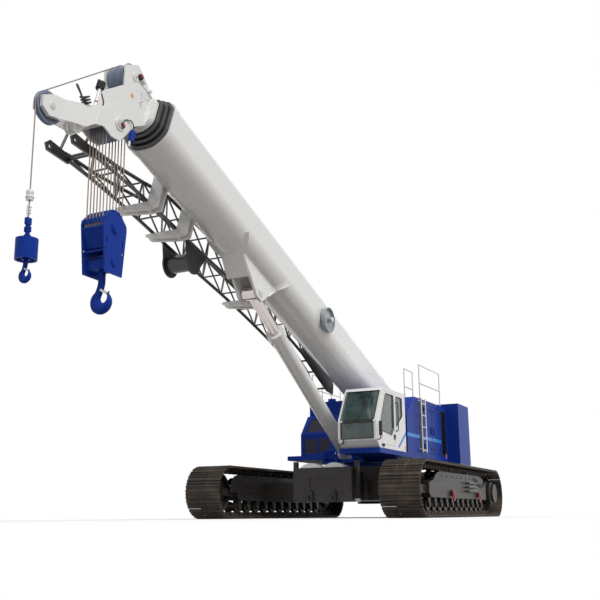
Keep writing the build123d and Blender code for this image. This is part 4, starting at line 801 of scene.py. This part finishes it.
# %% [markdown]
# ## Boom head trims
# The head carries the small things that make a crane look used: the hoist-limit switch with its blue
# housing, hose coils, lamps with red lenses and a lifting handle. The auxiliary rope runs over the top
# sheave and down to the outer sheave on the line that touches both grooves.

# %% Rope over the sheaves, switches, hose coils, lamps and handle
HEAD = ("boom_head", "white_paint")
TOP_SHEAVE, OUTER_SHEAVE = np.array((13.80, 0.39)), np.array((15.08, -1.44))
TOP_GROOVE, OUTER_GROOVE = 0.247, aux_x - aux_pin[0]
ROPE_FROM, ROPE_TO = radians(118), -radians(18.8)
LAMPS_AT, LAMP_Y = ((13.69, 0.49), (13.77, -0.69)), 0.222
WEIGHT_Z, GRIPS_Z = 4.50, (4.30, 4.345, 4.39)
AXLE_CAPS = ((13.80, 0.39, 0.062), (13.82, -0.70, 0.085))


def arc(middle, radius, first, last):
    """Points of an arc in the boom's own plane, as rows of (along, across, square)."""
    a = np.linspace(first, last, 14)
    return np.column_stack([middle[0] + radius * np.cos(a), 0 * a, middle[1] + radius * np.sin(a)])


def coil(centre, turns, radius, bar, axis, rise=0.0):
    """A round bar wound `turns` times round an axis, rising by `rise` in all."""
    axis = unit(axis)
    side = unit(np.cross(axis, np.eye(3)[np.argmin(np.abs(axis))]))
    up = np.cross(axis, side)
    v = np.linspace(0, 2 * pi * turns, int(14 * turns) + 1)[:, None]
    path = np.asarray(centre) + radius * (np.cos(v) * side + np.sin(v) * up) + axis * rise * v / v[-1]
    return tube(path, bar, 8)


def turned(profile, s, y, n, hand=1, sides=24):
    """A turned piece whose axis lies across the boom, facing left or right."""
    return lathe([(r, hand * h) for r, h in profile], on_boom((s, y, n)), (0, 1, 0), sides)


line = OUTER_SHEAVE - TOP_SHEAVE
leave = np.arctan2(line[1], line[0]) + pi / 2
over = np.vstack([arc(TOP_SHEAVE, TOP_GROOVE, ROPE_FROM, leave),
                  arc(OUTER_SHEAVE, OUTER_GROOVE, leave, ROPE_TO)])
piece("aux_rope_over_sheaves", [wire(on_boom(over))], "boom_head", "wire_rope", angle=60)

disc = [(0.0, 0.0), (0.052, 0.0), (0.058, 0.012), (0.052, 0.046), (0.0, 0.050)]
lens = [(0.0, 0.050), (0.034, 0.050), (0.030, 0.062), (0.0, 0.068)]
for name, profile, finish in (("head_lamps", disc, "rubber"), ("head_lamp_lenses", lens, "lamp_red")):
    lamps = [turned(profile, s, hand * LAMP_Y, n, hand) for hand in (-1, 1) for s, n in LAMPS_AT]
    piece(name, lamps, *HEAD, finish)

grab = on_boom([(13.35, 0.222, 0.30), (13.35, 0.29, 0.30), (13.60, 0.29, 0.33), (13.52, 0.29, 0.06),
                (13.52, 0.222, 0.06)])
posts = [tube(grab, 0.013, 10),
         turned([(0.0, -0.04), (0.03, -0.04), (0.03, 0.04), (0.0, 0.04)], 13.40, 0.25, 0.42, sides=12),
         tube(on_boom([(14.32, 0.10, -0.84), (14.325, 0.10, -0.62), (14.335, 0.10, -0.38)]), 0.030, 14),
         tube(on_boom([(13.52, 0.235, -0.66), (13.49, 0.235, -0.90)]), 0.024, 12)]
piece("head_handle_and_posts", posts, *HEAD)
switch = tube(on_boom([(13.505, 0.245, -0.60), (13.485, 0.245, -0.79)]), 0.055, 16)
piece("hoist_switch_housing", [switch], "boom_head", "blue_paint")
ring = tube(on_boom([(14.325, 0.10, -0.66), (14.326, 0.10, -0.63)]), 0.032, 14)
piece("post_band", [ring], *HEAD, "red")
loop_hose = [(14.42, 0.12, -1.02), (14.55, 0.16, -0.96), (14.72, 0.18, -0.88), (14.83, 0.15, -0.78),
             (14.78, 0.11, -0.72), (14.66, 0.10, -0.78), (14.52, 0.12, -0.92), (14.36, 0.12, -1.02)]
post_hose = [(14.30, 0.10, -0.90), (14.24, 0.14, -0.78), (14.22, 0.16, -0.60), (14.30, 0.13, -0.44)]
switch_hose = [(13.50, 0.24, -0.60), (13.54, 0.26, -0.50), (13.62, 0.25, -0.46), (13.72, 0.232, -0.52),
               (13.77, 0.23, -0.62)]
coils = [coil(on_boom((14.34, 0.10, -0.37)), 4.5, 0.062, 0.013, SQUARE, 0.15),
         coil(on_boom((14.50, 0.14, -0.90)), 3.5, 0.070, 0.014, ALONG * 0.75 + SQUARE * 0.65, 0.16)]
coils += [tube(curve(on_boom(hose)), radius, 8)
          for hose, radius in ((loop_hose, 0.014), (post_hose, 0.012), (switch_hose, 0.010))]
piece("head_hose_coils", coils, *HEAD, "rubber")
diamond = [(13.735, -0.03), (13.785, 0.02), (13.735, 0.07), (13.685, 0.02)]
tags = [prism(on_boom([(s, hand * 0.2235, n) for s, n in diamond]), (0, hand * 0.002, 0)) for hand in (1, -1)]
piece("head_orange_tag", tags, *HEAD, "orange")
caps = []
for hand in (-1, 1):
    for s, n, r in AXLE_CAPS:
        profile = [(0.0, 0.0), (r, 0.0), (r, 0.010), (r * 0.6, 0.022), (0.0, 0.022)]
        caps.append(turned(profile, s, hand * 0.2215, n, hand))
        reach = r - 0.018
        circle = [(s + reach * cos(a), hand * 0.2315, n + reach * sin(a)) for a in np.arange(6) * pi / 3]
        caps.append(copies(bolt(0.020, 0.010), on_boom(circle), [[(1, 0, 0), (0, 0, 1), (0, hand, 0)]]))
piece("head_axle_caps", caps, *HEAD, "bright_steel")

weight = [(0.016, 0.0), (0.050, 0.0), (0.056, 0.010), (0.056, 0.046), (0.050, 0.056), (0.050, 0.094),
          (0.056, 0.104), (0.056, 0.140), (0.050, 0.150), (0.016, 0.150)]
shapes = [lathe(weight, (aux_x, 0, WEIGHT_Z), (0, 0, 1), 28),
          coil((aux_x, 0, WEIGHT_Z + 0.045), 1, 0.060, 0.008, (0, 0, 1))]
piece("aux_limit_weight", shapes, "aux_rope", "white_paint")
grips = [box((aux_x - 0.030, -0.020, z), (aux_x + 0.030, 0.020, z + 0.024)) for z in GRIPS_Z]
grips.append(tube([(aux_x + 0.024, 0, 4.20), (aux_x + 0.026, 0, 4.32), (aux_x + 0.022, 0, 4.43)], 0.010, 10))
piece("aux_rope_grips", grips, "aux_rope", "wire_rope", "bright_steel")
print("head trims:", [name for name, _ in made[-11:]])

# %% [markdown]
# ## Operator's seat
# A foam cushion is full in the middle and drawn in at the corners, with a welt along its seam. It is made of
# rings again: a rounded rectangle that shrinks towards the top and the underside, crowned on its upper side,
# with shallow sewn channels across it.

# %% Seat, back rest, armrests and their stand
CROWN, CHANNELS, CHANNEL_DEPTH, WELT = 0.018, 4, 0.005, 0.0045
SEAT_Y, SEAT_UNDER = 1.11, 1.978
ARMRESTS_Y, LEVERS_Y = (0.86, 1.31), (0.885, 1.335)


def cushion(centre, half, ahead, up):
    """Rows of superellipses |x|^5 + |y|^5 = r^5 from the underside to the top. `half` is half of the length,
    the width and the thickness, along `ahead`, Y and `up`."""
    ahead, up = unit(ahead), unit(up)
    side = np.cross(up, ahead)
    t = np.linspace(-pi / 2, pi / 2, 19)[:, None]
    v = np.linspace(0, 2 * pi, 64, endpoint=False)
    shrink, upper = np.cos(t) ** 0.45, np.clip(np.sin(t), 0, 1)
    x, y = shrink * signed_power(np.cos(v), 0.4), shrink * signed_power(np.sin(v), 0.4)
    channel = CHANNEL_DEPTH * (np.abs(np.sin(CHANNELS * pi * (x + 1) / 2)) ** 0.4 - 1)
    z = np.sin(t) * half[2] + (CROWN * (1 - x ** 2) * (1 - y ** 2) + channel) * upper
    rings = np.asarray(centre) + half[0] * x[..., None] * ahead
    rings = rings + half[1] * y[..., None] * side + z[..., None] * up
    seam = rings[len(t) // 2]
    return [skin(rings), tube(np.vstack([seam, seam[:1]]), WELT, 6)]


back_up = unit((-0.115, 0.0, 0.575))
back_out = np.array((back_up[2], 0.0, -back_up[0]))
back_at = np.array((1.172, SEAT_Y, 2.325)) + 0.020 * back_out
seat = piece("seat_cushion", cushion((1.325, SEAT_Y, 2.020), (0.225, 0.215, 0.045), (1, 0, 0), (0, 0, 1)),
             "superstructure", "seat_vinyl", angle=60, instead_of=["operator_seat"])
back = piece("seat_back_cushion", cushion(back_at, (0.245, 0.200, 0.042), back_up, back_out),
             "superstructure", "seat_vinyl", angle=60)
floor_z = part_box("operator_seat")[0][2]
gaiter = SEAT_UNDER - floor_z
folds = [(0.0, 0.0)] + [(r, k * gaiter / 8) for k, r in enumerate((0.150, *(0.165, 0.140) * 3, 0.165, 0.150))]
shell = [(1.085, 2.64), (1.010, 2.64), (1.062, 1.980), (1.550, 1.975), (1.550, 2.000), (1.190, 2.005)]
stand = [standing(shell, 0.905, 1.315),
         lathe(folds + [(0.0, gaiter)], (1.32, SEAT_Y, floor_z), (0, 0, 1), 28)]
for y in ARMRESTS_Y:
    stand.append(box((1.15, y, 2.200), (1.50, y + 0.050, 2.245)))
    stand.append(box((1.10, y + 0.012, 2.05), (1.18, y + 0.038, 2.215)))
piece("seat_stand", stand, *CAB, bevel=0.010)
knob = [(0.0, 0.0), (0.014, 0.0), (0.020, 0.025), (0.022, 0.055), (0.012, 0.072), (0.0, 0.074)]
levers = []
for y in LEVERS_Y:
    levers.append(tube([(1.46, y, 2.24), (1.475, y, 2.30), (1.480, y, 2.345)], 0.007, 8))
    levers.append(lathe(knob, (1.480, y, 2.335), (0, 0, 1), 16))
piece("seat_levers", levers, *CAB, "rubber")
print("seat:", [name for name, _ in made[-4:]])

# %% [markdown]
# ## Rope wound on the drums
# Full drums show close rows of rope. From outside that is one turned surface whose profile is a row of half
# circles, one for each turn of rope.

# %% Rows of rope between the drum flanges
WOUND, CORE, BETWEEN_FLANGES = 0.0115, 0.200, 0.79
ROWS = int(BETWEEN_FLANGES / (2 * WOUND))
v = np.linspace(0, pi, 6, endpoint=False)
middles = (np.arange(ROWS) - ROWS / 2 + 0.5)[:, None] * 2 * WOUND
for name, layers in (("main", 2), ("aux", 1)):
    axle = joints[f"{name}_winch_turn"]["pos_m"]
    top = CORE + (2 * layers - 1) * WOUND
    radii, across = top + WOUND * np.sin(v) + 0 * middles, middles - WOUND * np.cos(v)
    rows = np.column_stack([radii.ravel(), across.ravel()])
    first = rows[0, 1]
    profile = np.vstack([[(CORE - 0.002, first)], rows, [(top, -first), (CORE - 0.002, -first)]])
    piece(f"{name}_winch_rope", [lathe(profile, axle, (0, 1, 0), 56)], f"{name}_winch", "wire_rope", angle=70)
print("drum rope:", made[-2:])

# %% [markdown]
# ## Floor and studio light
# The surround and the floor are white to the camera and in reflections, so the machine's outline stands
# clear. As lamps they are softer: the sky gives an even fill, the floor throws back a dim warm light, and
# the undersides of the boom and the tracks keep their shading.

# %% Floor, surround and lamp
FLOOR_HALF, FLOOR_GLOW, SKY_AS_LAMP = 200.0, 0.12, 0.56
FLOOR_SEEN, FLOOR_LIT = (0.93, 0.93, 0.93, 1), (0.30, 0.28, 0.26, 1)
recipe = Recipe("floor")
seen = recipe.add("LightPath", out="Is Camera Ray")
glossy = recipe.add("LightPath", out="Is Glossy Ray")
white_seen = (seen + glossy).between(0, 1)
recipe.set(Base_Color=recipe.mix(white_seen, FLOOR_LIT, FLOOR_SEEN), Roughness=1.0, Specular_IOR_Level=0.0,
           Emission_Color=(1, 1, 1, 1), Emission_Strength=white_seen * FLOOR_GLOW)
floor_mesh = bpy.data.meshes.new("floor")
corners = [(x * FLOOR_HALF, y * FLOOR_HALF, 0) for x, y in ((-1, -1), (1, -1), (1, 1), (-1, 1))]
floor_mesh.from_pydata(corners, [], [(0, 1, 2, 3)])
floor_mesh.materials.append(recipe.material)
floor = bpy.data.objects.new("floor", floor_mesh)
bpy.context.scene.collection.objects.link(floor)

world = bpy.data.worlds.new("studio")
world.use_nodes = True
bpy.context.scene.world = world
sky = world.node_tree
ray = sky.nodes.new("ShaderNodeLightPath")
last = ray.outputs["Is Camera Ray"]
for other in ("Is Glossy Ray", "Is Transmission Ray"):
    either = sky.nodes.new("ShaderNodeMath")
    either.operation = "MAXIMUM"
    sky.links.new(last, either.inputs[0])
    sky.links.new(ray.outputs[other], either.inputs[1])
    last = either.outputs[0]
level = sky.nodes.new("ShaderNodeMapRange")
sky.links.new(last, level.inputs["Value"])
level.inputs["To Min"].default_value = SKY_AS_LAMP
level.inputs["To Max"].default_value = 1.0
sky.links.new(level.outputs[0], sky.nodes["Background"].inputs["Strength"])
sky.nodes["Background"].inputs["Color"].default_value = (1, 1, 1, 1)


def lamp(name, strength, spread, towards):
    """A soft sun that shines along a direction."""
    data = bpy.data.lights.new(name, "SUN")
    data.energy, data.angle = strength, radians(spread)
    thing = bpy.data.objects.new(name, data)
    thing.rotation_euler = Vector(towards).to_track_quat("-Z", "Y").to_euler()
    bpy.context.scene.collection.objects.link(thing)


lamp("key", strength=1.65, spread=30, towards=(-0.25, -0.75, -0.9))
bpy.context.scene.view_settings.view_transform = "Standard"
print("floor glow", FLOOR_GLOW, "and sky as a lamp", SKY_AS_LAMP)
